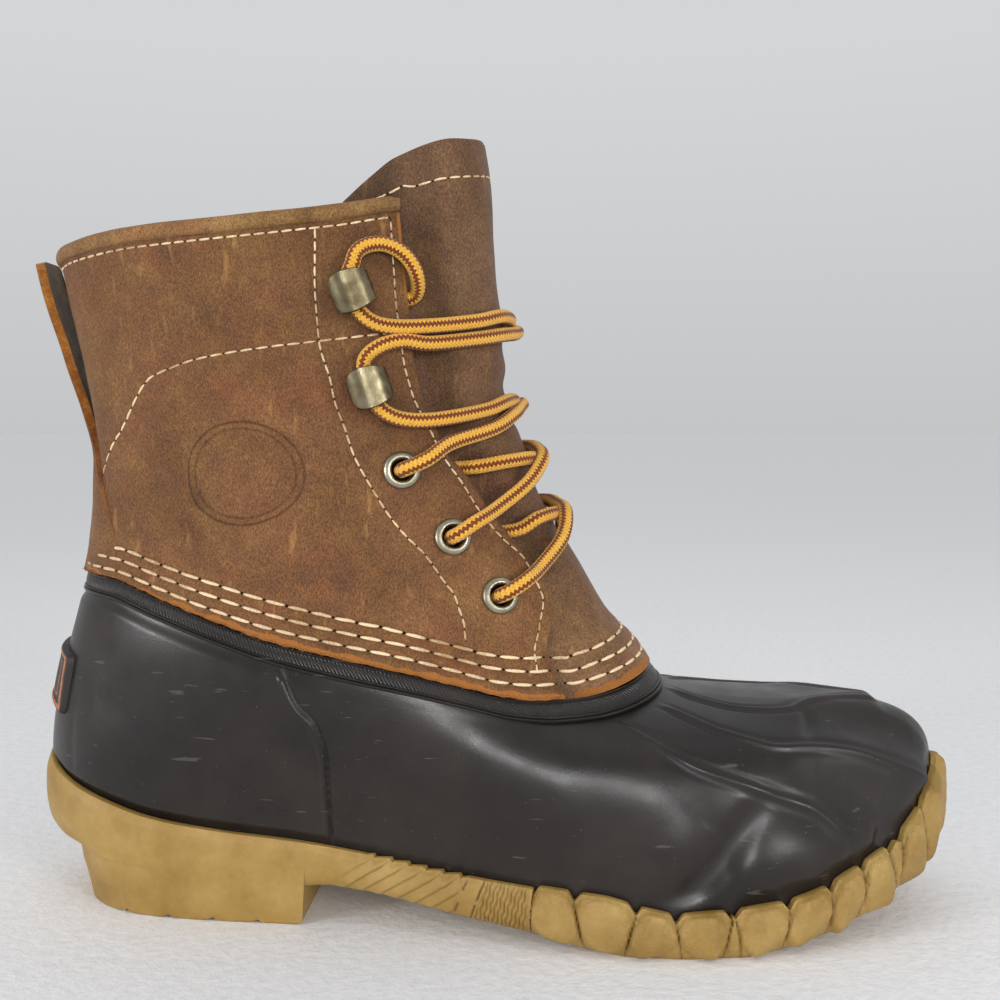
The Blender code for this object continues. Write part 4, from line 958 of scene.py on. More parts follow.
# plain oval on the quarter: degrees from the front, height of the row that it is found on, its own
# height on the UV map, then its half width and half height, all in mm
RING_TURN, RING_ROW, RING_HEIGHT = 101.7, 142.9, 140.4
RING_HALF = (19.4, 16.0)
ring_row = int(np.argmin(np.abs(z[:, np.argmin(np.abs(signed[50] - RING_TURN))] - RING_ROW * MM)))
ring_column = int(np.argmin(np.abs(signed[ring_row] - RING_TURN)))
ring_at = (float(around[ring_row, ring_column]), RING_HEIGHT)
LEATHER = oiled_leather("oiled_leather", *HIDE, ring=(ring_at, RING_HALF))
TONGUE_LEATHER = oiled_leather("oiled_leather_tongue", "#5a3c28", "#6b4b34", "#7f5e42", pale_foot=1.45)
BINDING_LEATHER = oiled_leather("waxed_binding_leather", "#6c4a29", "#845f39", "#9c754a", raw=False)
STRAP_LEATHER = oiled_leather("oiled_leather_strap", *HIDE, raw=False)


def eyelet_cuts(offset, radius):
    return [(shaft(side * np.array(a), np.array(h * COLLAR_HEIGHT), offset), radius)
            for a, h in EYELETS for side in (1.0, -1.0)]


upper = skin("leather_shaft", leather_p, [LEATHER, LINING, SUEDE], uv=(around, z / MM),
             marks={"raw": raw_of, "shade": shade_of}, weld=False, wall_thickness=LEATHER_WALL,
             holes=eyelet_cuts(0.0, 0.0045), slots=(1, 2))
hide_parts("shaft")

# Tongue and vamp in one piece under the facings
TONGUE_AROUND = 150
TONGUE_UP = 190
u, w = np.meshgrid(np.linspace(0, 1, TONGUE_AROUND + 1), np.linspace(0, 1, TONGUE_UP + 1) ** 1.1)
z = np.full(u.shape, 0.12)
for pass_of in range(8):
    edge = facing_angle(z) + TONGUE_OVERLAP + 2.5 * step(0.205, 0.215, z)
    signed = edge * (1 - 2 * u)
    low = rim_height(signed) + GAP
    z = low + (tongue_top(signed) - low) * w
base = shaft(signed, z)
offset_of = tongue_offset(signed, z) / MM
above = (z - low) / MM
inside = step(0.0, 6.0, facing_angle(z) - np.abs(signed))
offset_of = offset_of + 1.7 * (1 - step(0.0, 14.0, above)) * inside
for share in BAND_SHARES:
    offset_of -= 0.42 * inside * bump((z - row_height(signed, share)) / MM, 0.9)
a, h = trace(TONGUE_SEAM, 80)
for side in (1.0, -1.0):
    offset_of -= 0.30 * bump(near(base, shaft(side * a, h))[0] / MM, 0.9)
offset_of += 0.5 * swell(base, 0.026, 3) + 0.22 * swell(base, 0.010, 4)
# folds across the tongue at the ankle and over the vamp: height, depth and half width in mm, slant
for at, depth, wide, tilt in ((168.0, 0.7, 3.5, 0.10), (157.0, 0.7, 3.0, -0.14), (139.0, 0.7, 3.0, 0.12),
                              (121.0, 0.8, 3.0, -0.10), (181.0, 0.6, 4.0, 0.05)):
    off_fold = z / MM - at - tilt * signed
    offset_of -= depth * bump(off_fold, wide) * inside
    offset_of += depth * 0.6 * bump(off_fold - wide * 1.7, wide) * inside
offset_of -= 0.5 * (1 - step(0.0, 1.3, (tongue_top(signed) - z) / MM))
tongue_p = base + facing(base) * offset_of[..., None] * MM
ragged = 2.0 + 1.1 * swell(base, 0.014, 9) + 0.8 * swell(base, 0.004, 10)
raw_of = (1 - step(ragged - 0.5, ragged + 0.5, above)) * inside
# painted shade: the tongue darker beside and under the facings, and where it dips down
shade_of = 0.75 * (1 - step(-2.0, 7.0, facing_angle(z) - np.abs(signed)))
shade_of = np.maximum(shade_of, 0.28 * bump(tongue_offset(signed, z) / MM + 4.0, 3.0))
tongue = skin("leather_tongue", tongue_p, [TONGUE_LEATHER, LINING, SUEDE],
              marks={"raw": raw_of, "shade": shade_of}, weld=False, wall_thickness=TONGUE_WALL, slots=(1, 0),
              holes=eyelet_cuts(-0.005, 0.0050))
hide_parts("tongue")


# Collar binding: one strip of leather rolled over the edge and turned in at both facings
edge = facing_angle(np.array(0.97 * COLLAR_HEIGHT))
BINDING_STEPS = 260
BINDING_ROUND = 33
angle = np.linspace(360 - edge, edge, BINDING_STEPS)
fold = np.minimum(angle, 360 - angle)
z = collar_height(fold) - BINDING_HEIGHT / 2 + 0.0008
middle = shaft(angle, z, -LEATHER_WALL / 2)
outward = unit(shaft(angle, z) - shaft(angle, z, -LEATHER_WALL))
a = np.linspace(0, 2 * math.pi, BINDING_ROUND)
up = np.array((0.0, 0.0, 1.0))
wide = (BINDING_THICKNESS / 2 + 0.0002) * (np.abs(np.cos(a)) ** 0.85 * np.sign(np.cos(a)))
tall = BINDING_HEIGHT / 2 * np.sin(a)
p = middle[None] + outward[None] * wide[:, None, None] + up * tall[:, None, None]
p = p + (p - middle[None]) * swell(p, 0.012, 5)[..., None] * 0.06
ends = np.minimum(np.arange(BINDING_STEPS), BINDING_STEPS - 1 - np.arange(BINDING_STEPS))
p = middle[None] + (p - middle[None]) * (1 - 0.25 * (1 - step(0.0, 3.0, ends)))[None, :, None]
p = np.concatenate((np.repeat(middle[None, :1], BINDING_ROUND, axis=0), p,
                    np.repeat(middle[None, -1:], BINDING_ROUND, axis=0)), axis=1)
# painted shade: the roll darker on its underside
binding = skin("rolled_collar_binding", p, [BINDING_LEATHER],
               marks={"shade": (0.25 * (1 - step(-0.9, -0.4, np.sin(a))))[:, None]})
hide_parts("collar_binding")


# Back strap: sewn down the back seam and spreading at its foot, its free top standing off
def back_at(y, z):
    """Point of the shaft's back at a distance y from its middle (lateral positive)."""
    low = np.full(np.shape(y), 110.0)
    high = np.full(np.shape(y), 180.0)
    for halving in range(26):
        mid = (low + high) / 2
        further = np.abs(shaft(mid, z)[..., 1]) > np.abs(y)
        low = np.where(further, mid, low)
        high = np.where(further, high, mid)
    return shaft(low, z)[..., 0]


share = np.linspace(STRAP[0][0], STRAP[-1][0], 110)[:, None]
z = share * COLLAR_HEIGHT
half = rows(STRAP, share, 2)
across = np.linspace(-1, 1, 41)[None]
y = -half * across
back = shaft(np.full(share.shape, 180.0), z)[..., 0]
curl = (back_at(y, np.broadcast_to(z, y.shape)) - back) * (1 - step(0.66, 0.78, share) * 0.75)
off = rows(STRAP, share, 1) + 0.0003 * (1 - step(0.47, 0.55, share)) + STRAP_THICKNESS
off = off - 0.0008 * np.abs(across) ** 8
p = stack(back + curl - off, y, np.broadcast_to(z, y.shape))
p = p + facing(p) * (0.00025 * swell(p, 0.012, 6))[..., None]
p[..., 2] -= step(0.905, 0.925, share) * 0.0010 * np.abs(across) ** 4
STRAP_FUZZ = 0.0006
strap = skin("back_strap_leather", p, [STRAP_LEATHER, SUEDE, FLESH_SHADED], weld=False,
             wall_thickness=STRAP_THICKNESS + STRAP_FUZZ, slots=(2, 1), marks={"shade": 0.0, "raw": 0.0})
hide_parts("back_strap")


# Rubber shell
# Lines moulded into the shell, on both sides: (station, height share) from the photo
COUNTER_EDGE = ((0.339, 1.0), (0.351, 0.82), (0.364, 0.72), (0.368, 0.54), (0.362, 0.23), (0.360, 0.0))
TOP_RIDGE = ((0.960, 1.0), (0.883, 0.91), (0.864, 0.79), (0.884, 0.65), (0.927, 0.605), (0.965, 0.50),
             (0.985, 0.36))
INNER_RIDGE = ((0.806, 1.0), (0.770, 0.725), (0.775, 0.565), (0.801, 0.475), (0.825, 0.360), (0.845, 0.245),
               (0.880, 0.100), (0.902, 0.02))
OUTER_RIDGE = ((0.693, 0.97), (0.685, 0.625), (0.714, 0.385), (0.747, 0.250), (0.767, 0.125), (0.804, 0.025))
FLEX_CREASE = ((0.713, 0.325), (0.677, 0.235), (0.653, 0.155), (0.633, 0.090), (0.609, 0.030))
APRON_CREASE = ((0.887, 0.605), (0.853, 0.565), (0.816, 0.520))
TOE_HOLLOW = ((0.775, 0.36), (0.800, 0.25), (0.822, 0.15))
TOP_HOLLOW = ((0.860, 0.47), (0.900, 0.36), (0.930, 0.22))
HEEL_BELLY = ((0.130, 0.24), (0.200, 0.27), (0.270, 0.28))
TOE_KNEE = ((0.663, 0.090), (0.686, 0.095), (0.710, 0.095), (0.739, 0.075), (0.769, 0.065))
CREASE_SHOULDER = ((0.655, 0.300), (0.628, 0.215), (0.606, 0.150))


def around_shell():
    """Loop shares, closer together at the counter's edges and over the toe's ridges."""
    s = np.linspace(0, 0.5, 4001)
    crowd = 1.0 + 2.6 * step(0.160, 0.167, s) * (1 - step(0.186, 0.193, s)) + 0.5 * step(0.33, 0.36, s)
    ticks = np.concatenate(((0.0,), np.cumsum((crowd[1:] + crowd[:-1]) / 2)))
    half = np.interp(np.linspace(0, ticks[-1], 301), ticks, s)
    return np.concatenate((half, 1 - half[-2::-1]))


def on_shell(line, side):
    q = np.array(line)
    reach = np.linspace(0, 1, len(q))
    t = np.linspace(0, 1, 40)
    station_of = blend(reach, q[:, 0], t)
    s = station_of / 2 if side < 0 else 1 - station_of / 2
    return shell_base(s, blend(reach, q[:, 1], t))


s_all = around_shell()
heights = np.concatenate((np.linspace(0, 0.9, 84), np.linspace(0.9, 1.0, 18)[1:]))
s, v = np.meshgrid(s_all, heights)
base = shell_base(s, v)
out = facing(base, closed=True)
relief = 0.35 * swell(base, 0.034, 7)
hollow = np.zeros(base.shape[:2])
t_all, side_all = half_loop(s)
for side in (-1.0, 1.0):
    here = side_all == side
    line = on_shell(COUNTER_EDGE, side)
    gap_to, along = near(base, line)
    beside = np.interp(along, np.linspace(0, 1, len(line)), line[:, 0])
    heelward = np.where(base[..., 0] < beside, 1.0, -1.0)
    d = gap_to / MM * heelward
    counter = 0.85 * step(-0.15, 0.35, d) + 0.45 * bump(d - 1.0, 0.75) - 0.30 * bump(d + 0.5, 0.5)
    relief = np.where(here & (t_all < 0.5), relief + counter, relief)
    hollow = np.maximum(hollow, np.where(here, 0.5 * bump(d + 0.4, 0.6), 0))
    for line_of, crest, wide in ((TOP_RIDGE, 1.2, 6.0), (INNER_RIDGE, 2.5, 6.0), (OUTER_RIDGE, 2.0, 6.5)):
        gap_to, along = near(base, on_shell(line_of, side))
        d = gap_to / MM
        fade = step(0.0, 0.06, along) * (1 - step(0.93, 1.0, along))
        relief += fade * (1 - 0.55 * along) * (0.80 * bump(d, 1.1) - 0.40 * bump(d - 2.0, 0.8))
        relief += fade * crest * step(0.30, 0.62, along) * bump(d, wide)
        hollow = np.maximum(hollow, 0.35 * fade * bump(d - 1.8, 0.6))
    for line_of, depth, wide in ((FLEX_CREASE, 2.3, 4.6), (APRON_CREASE, 1.1, 1.8), (TOE_HOLLOW, 2.1, 7.5),
                                 (TOP_HOLLOW, 0.9, 6.0), (HEEL_BELLY, -2.2, 15.0), (TOE_KNEE, -2.3, 9.0),
                                 (CREASE_SHOULDER, -1.0, 8.0)):
        gap_to, along = near(base, on_shell(line_of, side))
        fade = 0.35 + 0.65 * np.sin(math.pi * along) ** 0.6
        relief -= depth * fade * bump(gap_to / MM, wide)
        if line_of is TOE_HOLLOW and side < 0:
            hollow = np.maximum(hollow, 0.9 * bump(gap_to / MM, 6.5))
        if line_of is FLEX_CREASE:
            hollow = np.maximum(hollow, 0.45 * fade * bump(gap_to / MM, 2.0))
relief *= step(0.0, 0.06, v) * (1 - step(0.93, 1.0, v)) * 0.999 + 0.001
outer_rows = base + out * relief[..., None] * MM

# Section of the band: drop from the rim and stand off from the shaft, in mm
BAND_SECTION = ((6.35, 0.75), (6.10, 1.15), (5.80, 1.30), (5.50, 1.15), (5.30, 0.75), (5.15, 0.95),
                (4.90, 1.25), (4.65, 1.20), (4.45, 0.80), (4.30, 0.80), (3.60, 1.00), (2.60, 1.08),
                (1.60, 1.05), (0.95, 0.90), (0.80, 0.78), (0.62, 1.10), (0.35, 1.30), (0.10, 1.15),
                (0.0, 0.60), (0.0, -1.2), (0.15, -3.0), (3.9, -3.0))
angle_rim = shaft_turn(s_all)
rim_rows = np.stack([shaft(angle_rim, rim(s_all) - drop * MM, np.full(s_all.shape, off_of * MM))
                     for drop, off_of in BAND_SECTION])
inner = shell_base(*np.meshgrid(s_all, np.linspace(0.97, 0.0, 24)))
inner = inner + facing(inner, closed=True) * RUBBER_WALL
floor_of = np.maximum(level(s_all, "under") - FOREFOOT_FLAT, 0.0) + SOLE_FLOOR + GAP
inside_foot = outline(s_all, FOXING_THICKNESS + GAP + RUBBER_WALL)
inside_foot[..., 2] = floor_of
outside_foot = outline(s_all, FOXING_THICKNESS + GAP)
outside_foot[..., 2] = floor_of
p = np.concatenate((outside_foot[None], outer_rows, rim_rows, inner, inside_foot[None], outside_foot[None]))
ribbed = np.zeros(p.shape[:2])
start_row = 1 + len(heights)
ribbed[start_row + 9:start_row + 14] = 1.0
hollow_all = np.zeros(p.shape[:2])
hollow_all[1:start_row] = hollow
hollow_all[start_row + 4] = 0.5
hollow_all[start_row + 8] = 0.6
around = lengths(rim_rows[10:11])
ribs_in_all = round(around[0, -1] / BAND_RIB_MM)
u = np.broadcast_to(around * (ribs_in_all * BAND_RIB_MM / around[0, -1]), p.shape[:2])
drops = np.concatenate((np.full(start_row, 7.0), [d for d, o in BAND_SECTION],
                        np.full(len(p) - start_row - len(BAND_SECTION), 8.0)))
shell = skin("moulded_rubber_shell", p, [RUBBER], uv=(u, -drops[:, None]),
             marks={"ribbed": ribbed, "hollow": hollow_all})
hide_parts("rubber_shell")


# Gum sole: one cup with a moulded side, its tread, and the heel block
def share_at(x_mm):
    """Loop share on the medial side whose outline lies at x (mm ahead of the sole's back)."""
    x = (outline(HALF_SHARES)[:, 0] + HEEL_SEAT) / MM
    return np.interp(x_mm, x, HALF_SHARES)


HALF_SHARES = np.linspace(0, 0.5, 2001)
ARC_STEPS = np.linalg.norm(np.diff(outline(HALF_SHARES), axis=0), axis=1)
ARC = np.concatenate(((0.0,), np.cumsum(ARC_STEPS))) / MM


def arc_at(x_mm):
    return float(np.interp(share_at(x_mm), HALF_SHARES, ARC))


# Side of the sole, from the photo: x in mm from the sole's back where each moulded field starts
SLANT_RIBS_AT = 112.0
DASHES_AT = 145.0
FINE_RIBS_AT = 150.5
PADS_AT = 164.0
arc_toe = float(ARC[-1])
fine_from, fine_to = arc_at(FINE_RIBS_AT), arc_at(PADS_AT)
# Pads: the first is a long smooth one, then about 12.5 mm each round the toe
pad_edges = [arc_at(PADS_AT), arc_at(178.0), arc_at(193.0)]
PAD_WIDTHS = (13.4, 13.6, 2.6, 14.2, 13.6, 11.0, 12.4, 2.4, 13.8, 14.4)
while pad_edges[-1] + 12.6 < arc_toe - 4.0:
    pad_edges.append(pad_edges[-1] + PAD_WIDTHS[(len(pad_edges) - 3) % len(PAD_WIDTHS)])
pad_edges = np.array(pad_edges)
pad_edges[3:] += (arc_toe - 6.2 - pad_edges[-1]) * (np.arange(3, len(pad_edges)) - 2) / (len(pad_edges) - 3)
pad_edges = np.append(pad_edges, 2 * arc_toe - pad_edges[-1])


RIB_PITCH = 5.5
RIB_LEAN = 16.5
CUT_LEAN = 5.0
FINE_PITCH = 1.32


def side_pattern(arc, up):
    """Relief in mm and share of painted groove shade at arc (mm from the heel) and height share."""
    relief = np.zeros(arc.shape)
    # slanted ribs
    lean = arc + (1 - up) * RIB_LEAN
    start = arc_at(SLANT_RIBS_AT) + 4.0
    stop = arc_at(DASHES_AT)
    cut_at = arc + (1 - up) * CUT_LEAN
    field = step(start - 3.0, start + 2.0, lean) * (1 - step(stop - 1.6, stop - 0.6, cut_at))
    tooth = np.mod((lean - start) / RIB_PITCH, 1.0)
    relief += field * (0.95 * tooth - 0.95 * bump(tooth - 1.0, 0.08) - 0.2)
    # painted shade at the step of each slanted rib
    groove_shade = field * 0.35 * bump(np.minimum(tooth, 1 - tooth), 0.06)
    # two cut lines with short dashes
    for at, dashes in ((stop, ((0.70, 0.95), (0.14, 0.40))),
                       (arc_at(FINE_RIBS_AT) - 0.4, ((0.52, 1.0), (0.0, 0.44)))):
        off = cut_at - at
        cut = sum(step(a - 0.03, a + 0.03, up) * (1 - step(b - 0.03, b + 0.03, up)) for a, b in dashes)
        relief -= 0.6 * bump(off, 0.35) * cut
        groove_shade = np.maximum(groove_shade, 0.9 * bump(off, 0.30) * cut)
    # fine wavy ribs
    wave = arc + (1 - up) * 3.0 + 0.22 * np.sin(up * 17.0 + arc * 1.1)
    field = step(fine_from, fine_from + 0.8, cut_at) * (1 - step(fine_to - 1.0, fine_to, arc + 1 - up))
    ripple = np.cos(2 * math.pi * (wave - fine_from) / FINE_PITCH)
    relief += field * 0.32 * ripple
    return relief, np.maximum(groove_shade, field * 0.35 * (0.5 - 0.5 * ripple))


# Pads by turns: how their edges lean in mm, how their facets turn, and where the facets meet
PAD_LEANS = (1.6, -2.4, 3.4, 1.4, 2.6, -3.2, 1.8, -2.0)
PAD_TURNS = (0.30, -0.22, 0.16, 0.34, -0.30, 0.24, -0.18, 0.30, -0.26, 0.20, -0.2)
PAD_FOLDS = (-0.42, 0.36, -0.30, -0.46, 0.30, -0.38, 0.42, -0.34, 0.28, -0.44, 0.36)
SLIVER = 5.0


def pads(arc, up, side):
    """Faceted pads wrapped round the toe: relief in mm, notch and painted groove shade at their edges, and
    their area.
    """
    relief, notch, groove_shade, mask = (np.zeros(arc.shape) for k in range(4))
    leans = [PAD_LEANS[(k * 5 + (2 if side > 0 else 0)) % 8] for k in range(len(pad_edges))]
    leans[0] = 1.2
    leans[-1] = leans[-2] = 0.0
    for k in range(len(pad_edges) - 1):
        seed = (k * 7 + (3 if side > 0 else 0)) % 11
        turned = PAD_TURNS[seed]
        ridge = PAD_FOLDS[seed]
        wide = pad_edges[k + 1] - pad_edges[k]
        left = pad_edges[k] + leans[k] * (up - 0.5)
        right = pad_edges[k + 1] + leans[k + 1] * (up - 0.5)
        a = (arc - left) / (right - left) * 2 - 1
        b = (up - 0.52) * 2
        here = np.abs(a) <= 1.0
        inner = step(0.0, 1.5 / wide, 1 - np.abs(a))
        corner = (np.abs(a) + np.abs(b)) * 0.70 - 0.84
        ends = 3.4 * np.maximum(np.maximum(np.abs(b) - 0.88, corner), 0)
        # two flat facets that meet along a slanting fold off the middle, and one below
        past = a - (ridge + turned * b)
        slopes = (2.7, 0.9) if ridge < 0 else (0.9, 2.7)
        low_fold = -b * 0.9 + a * turned * 1.6 - 0.30
        height = 1.75 - slopes[0] * np.maximum(-past, 0) - slopes[1] * np.maximum(past, 0)
        height = height - 1.3 * np.maximum(low_fold, 0)
        if wide < SLIVER:
            height = 0.35 - 0.5 * np.abs(b)
        if k < 2:
            height = np.full(arc.shape, 0.95)
        if k == 1:
            ends = np.maximum(ends, 3.0 * np.maximum(np.hypot(a, b) - 0.86, 0))
        height = -0.45 + (np.maximum(height - ends, -0.2) + 0.45) * inner
        relief = np.where(here, height, relief)
        edge_near = (1 - np.abs(a)) * wide / 12.0
        low_notch = 0.45 if wide < SLIVER else 0.0
        notch = np.where(here, np.maximum(1 - step(0.0, 0.46, edge_near), low_notch), notch)
        # painted shade along the gaps between pads
        groove_shade = np.where(here, 0.85 * (1 - step(0.0, 0.08, edge_near)), groove_shade)
        mask = np.where(here, 1.0, mask)
    return relief, notch, groove_shade, mask


fine_field = (ARC > fine_from - 4) & (ARC < fine_to + 1)
spacing = np.where(fine_field, 0.26, np.where(ARC > arc_at(108.0), 0.50, 1.1))
ticks = np.concatenate(((0.0,), np.cumsum(np.diff(ARC) / spacing[1:])))
half_shares = np.interp(np.linspace(0, ticks[-1], int(ticks[-1]) + 1), ticks, HALF_SHARES)
s_sole = np.concatenate((half_shares, 1 - half_shares[-2::-1]))
arc_sole = np.interp(half_loop(s_sole)[0] / 2, HALF_SHARES, ARC)
under = np.maximum(level(s_sole, "under") - FOREFOOT_FLAT, 0.0)
top = level(s_sole, "foxing_top")
tuck = station(OUTLINE, OUTLINE_COLUMNS, "under_inset", half_loop(s_sole)[0]) * BALL_WIDTH
SIDE_ROWS = 40
up = np.linspace(0, 1, SIDE_ROWS)[:, None]
arc_grid = np.broadcast_to(arc_sole, (SIDE_ROWS, len(s_sole)))
up_grid = np.broadcast_to(up, arc_grid.shape)
side_grid = np.broadcast_to(half_loop(s_sole)[1], arc_grid.shape)
ribs, groove_shade = side_pattern(arc_grid, up_grid)
pad, notch, pad_groove, mask = (np.where(side_grid < 0, medial, lateral) for medial, lateral in
                                zip(pads(arc_grid, up_grid, -1.0), pads(arc_grid, up_grid, 1.0)))
groove_shade = np.maximum(groove_shade, pad_groove)
relief = np.where(mask > 0, pad * 1.35, ribs)
lift = np.where(mask > 0, 0.9 - 2.6 * notch ** 1.5, 0.0)
slant_from, slant_to = arc_at(SLANT_RIBS_AT), arc_at(DASHES_AT)
tooth = np.mod((arc_grid - slant_from - 4.0) / RIB_PITCH, 1.0)
slanted = step(slant_from, slant_from + 4, arc_grid) * (1 - step(slant_to - 1, slant_to, arc_grid))
lift = lift + slanted * (tooth - 0.5)
# Side section of the sole: height share and how far it is tucked in, as a share of the tuck
SIDE_SECTION = ((0.0, 1.0), (0.12, 0.42), (0.34, 0.08), (0.62, 0.0), (0.88, 0.02), (1.0, 0.10))
x_sole = outline(s_sole)[:, 0] + HEEL_SEAT
beside_block = step(0.012, 0.030, x_sole) * (1 - step(0.088, 0.104, x_sole))
inset = rows(SIDE_SECTION, up_grid) * tuck * (1 - 0.9 * beside_block)
inset = inset + 0.0006 * step(0.80, 1.0, up_grid)
z_side = under + (top - under) * up_grid + lift * MM * step(0.5, 1.0, up_grid)
side_p = outline(np.broadcast_to(s_sole, arc_grid.shape), inset)
side_p[..., 2] = z_side
out = facing(side_p, closed=True)
ease = step(0.0, 0.14, up_grid) * (1 - 0.6 * step(0.90, 1.0, up_grid))
side_p = side_p + out * (relief * ease)[..., None] * MM
side_p = side_p + out * (0.18 * swell(side_p, 0.009, 8))[..., None] * MM
side_p[..., 2] = np.maximum(side_p[..., 2], 0.0)
lip = [outline(s_sole, inset_of) for inset_of in (0.0020, FOXING_THICKNESS, FOXING_THICKNESS)]
lip[0][..., 2] = side_p[-1, :, 2] + 0.0003
lip[1][..., 2] = side_p[-1, :, 2] - 0.0001
lip[2][..., 2] = under + SOLE_FLOOR
sole_rows = np.concatenate((side_p, np.array(lip)))
# tread: the bottom edge drawn in to the middle line
middle = sole_rows[0].copy()
middle[:, 1] = 0.0
tread = [sole_rows[0] * (1 - k) + middle * k for k in (1.0, 0.75, 0.5, 0.25, 0.08)]
p = np.concatenate((np.array(tread), sole_rows))
# painted shade in the grooves of the side, none on the tread or lip
groove_all = np.pad(groove_shade, ((len(tread), len(lip)), (0, 0)))
crinkle_all = np.pad(np.where(mask > 0, 1.0, 0.3), ((len(tread), len(lip)), (0, 0)),
                     constant_values=((0.2, 0.3), (0.2, 0.3)))
sole = skin("gum_sole", p, [GUM], marks={"groove_shade": groove_all, "crinkle": crinkle_all})
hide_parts("outsole")

# Heel block: the outline's loop share where it stops, and the notches along its foot
HEEL_STOP = 0.5 * 6.2 / 18
HEEL_NOTCHES = 5
NOTCH_START = -0.022
NOTCH_PITCH = 0.0145
NOTCH_DEPTH = 0.0012
s_block = np.concatenate((np.linspace(0, HEEL_STOP, 160), -np.linspace(HEEL_STOP, 0, 160)[1:]))
plan = outline(s_block)
run = (plan[:, 0] + HEEL_SEAT) / (outline(np.array(HEEL_STOP))[0] + HEEL_SEAT)
# height, how far the block is raked there, and how far its edge is drawn in
BLOCK_SECTION = ((0.0, 1.0, 0.0011), (0.0, 1.0, 0.0006), (0.0003, 1.0, 0.0001), (0.0010, 0.97, 0.0),
                 (0.0030, 0.88, 0.0), (0.0060, 0.68, 0.0), (0.0090, 0.5, 0.0), (0.0130, 0.2, 0.0),
                 (0.0185, 0.0, 0.0))
block_rows = []
for height, rake, draw in BLOCK_SECTION:
    back_x = HEEL_BLOCK_BACK + HEEL_BLOCK_RAKE * rake + draw
    front_x = HEEL_BLOCK_FRONT - HEEL_BLOCK_RAKE * rake * 0.3 - draw
    y = plan[:, 1] * (1 - 0.04 * rake) * (1 - draw / 0.036)
    block_rows.append(stack(back_x + (front_x - back_x) * run - HEEL_SEAT, y, height))
block = np.array(block_rows)
for k in range(HEEL_NOTCHES):
    low_share = np.exp(-block[..., 2] / NOTCH_DEPTH)
    block[..., 2] += NOTCH_DEPTH * bump(block[..., 0] - NOTCH_START - NOTCH_PITCH * k, 0.0009) * low_share
middle = block[0].copy()
middle[:, 1] = 0.0
under_rows = [block[0] * (1 - k) + middle * k for k in (1.0, 0.66, 0.33)]
p = np.concatenate((np.array(under_rows), block))
heel = skin("gum_heel_block", p, [GUM], marks={"groove_shade": 0.0, "crinkle": 0.12})
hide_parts("outsole")

# Footbed
s = np.linspace(0, 1, 241)
inset = FOXING_THICKNESS + GAP + RUBBER_WALL + INSOLE_CLEARANCE
bed_floor = np.maximum(level(s, "under") - FOREFOOT_FLAT, 0.0) + SOLE_FLOOR + 2 * GAP
bed = []
for extra, rise in ((0.0006, 0.0), (0.0, 0.0008), (0.0, INSOLE_THICKNESS - 0.0012),
                    (0.0006, INSOLE_THICKNESS - 0.0003), (0.0016, INSOLE_THICKNESS),
                    (0.004, INSOLE_THICKNESS)):
    ring_of = outline(s, inset + extra)
    ring_of[:, 2] = bed_floor + rise
    bed.append(ring_of)
bed_edge = bed[-1]
middle = bed_edge.copy()
middle[:, 1] = 0.0
for k in (0.25, 0.5, 0.75, 1.0):
    bed.append(bed_edge * (1 - k) + middle * k)
footbed = skin("felt_footbed", np.array(bed), [FOOTBED])
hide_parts("insole")


# Eyelets and hooks
def seat(angle, z, side):
    """Where a metal part sits on the leather: its centre, the way out and the way up."""
    def at(height, offset=0.0):
        return shaft(side * np.array(angle), np.array(height), offset)
    normal = unit(at(z, 0.001) - at(z))
    up = at(z + 0.004) - at(z - 0.004)
    return at(z), normal, unit(up - normal * (up @ normal))


EYELET_LIFT = GAP + 0.0005
barrel = EYELET_BARREL / 2
flange = EYELET_FLANGE / 2
hole = EYELET_HOLE / 2
# Section of an eyelet: distance from its middle and height off the leather
EYELET_SECTION = ((hole, -0.0030), (hole, EYELET_LIFT + 0.0004), (hole + 0.0002, EYELET_LIFT + 0.0010),
                  (hole + 0.0007, EYELET_LIFT + 0.0013), (barrel + 0.0006, EYELET_LIFT + 0.0012),
                  (flange - 0.0006, EYELET_LIFT + 0.0009), (flange - 0.0002, EYELET_LIFT + 0.0006),
                  (flange, EYELET_LIFT + 0.0002), (flange - 0.0002, EYELET_LIFT - 0.0004),
                  (barrel, EYELET_LIFT - 0.0006), (barrel, -0.0030), (hole, -0.0030))
turn_all = np.linspace(0, 2 * math.pi, 49)
for side_name, side in SIDES:
    for k, (angle, share) in enumerate(EYELETS):
        centre, normal, up = seat(angle, share * COLLAR_HEIGHT, side)
        ring = np.outer(np.cos(turn_all), np.cross(up, normal)) + np.outer(np.sin(turn_all), up)
        p = np.array([centre + normal * h + r * ring for r, h in EYELET_SECTION])
        eyelet = skin("eyelet_ring_%s_%d" % (side_name, k + 1), p, [NICKEL], flip=True)
        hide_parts("eyelet_%s_%d" % (side_name, k + 1))

# Hook: a stamped strip bent round from its base under the lace to a pillowed face.
# Along the strip: towards the throat, height off the leather, half width (metres)
HOOK_PATH = ((-0.0058, 0.0, 0.0036), (-0.0056, 0.0, 0.0050), (-0.0045, 0.0, 0.0056), (-0.0015, 0.0, 0.0056),
             (0.0020, 0.0002, 0.0052), (0.0042, 0.0014, 0.0047), (0.0052, 0.0034, 0.0044),
             (0.0048, 0.0056, 0.0047), (0.0030, 0.0071, 0.0055), (0.0005, 0.0077, 0.0061),
             (-0.0020, 0.0078, 0.0063), (-0.0040, 0.0072, 0.0060), (-0.0053, 0.0063, 0.0051),
             (-0.0060, 0.0055, 0.0038), (-0.0062, 0.0051, 0.0022))
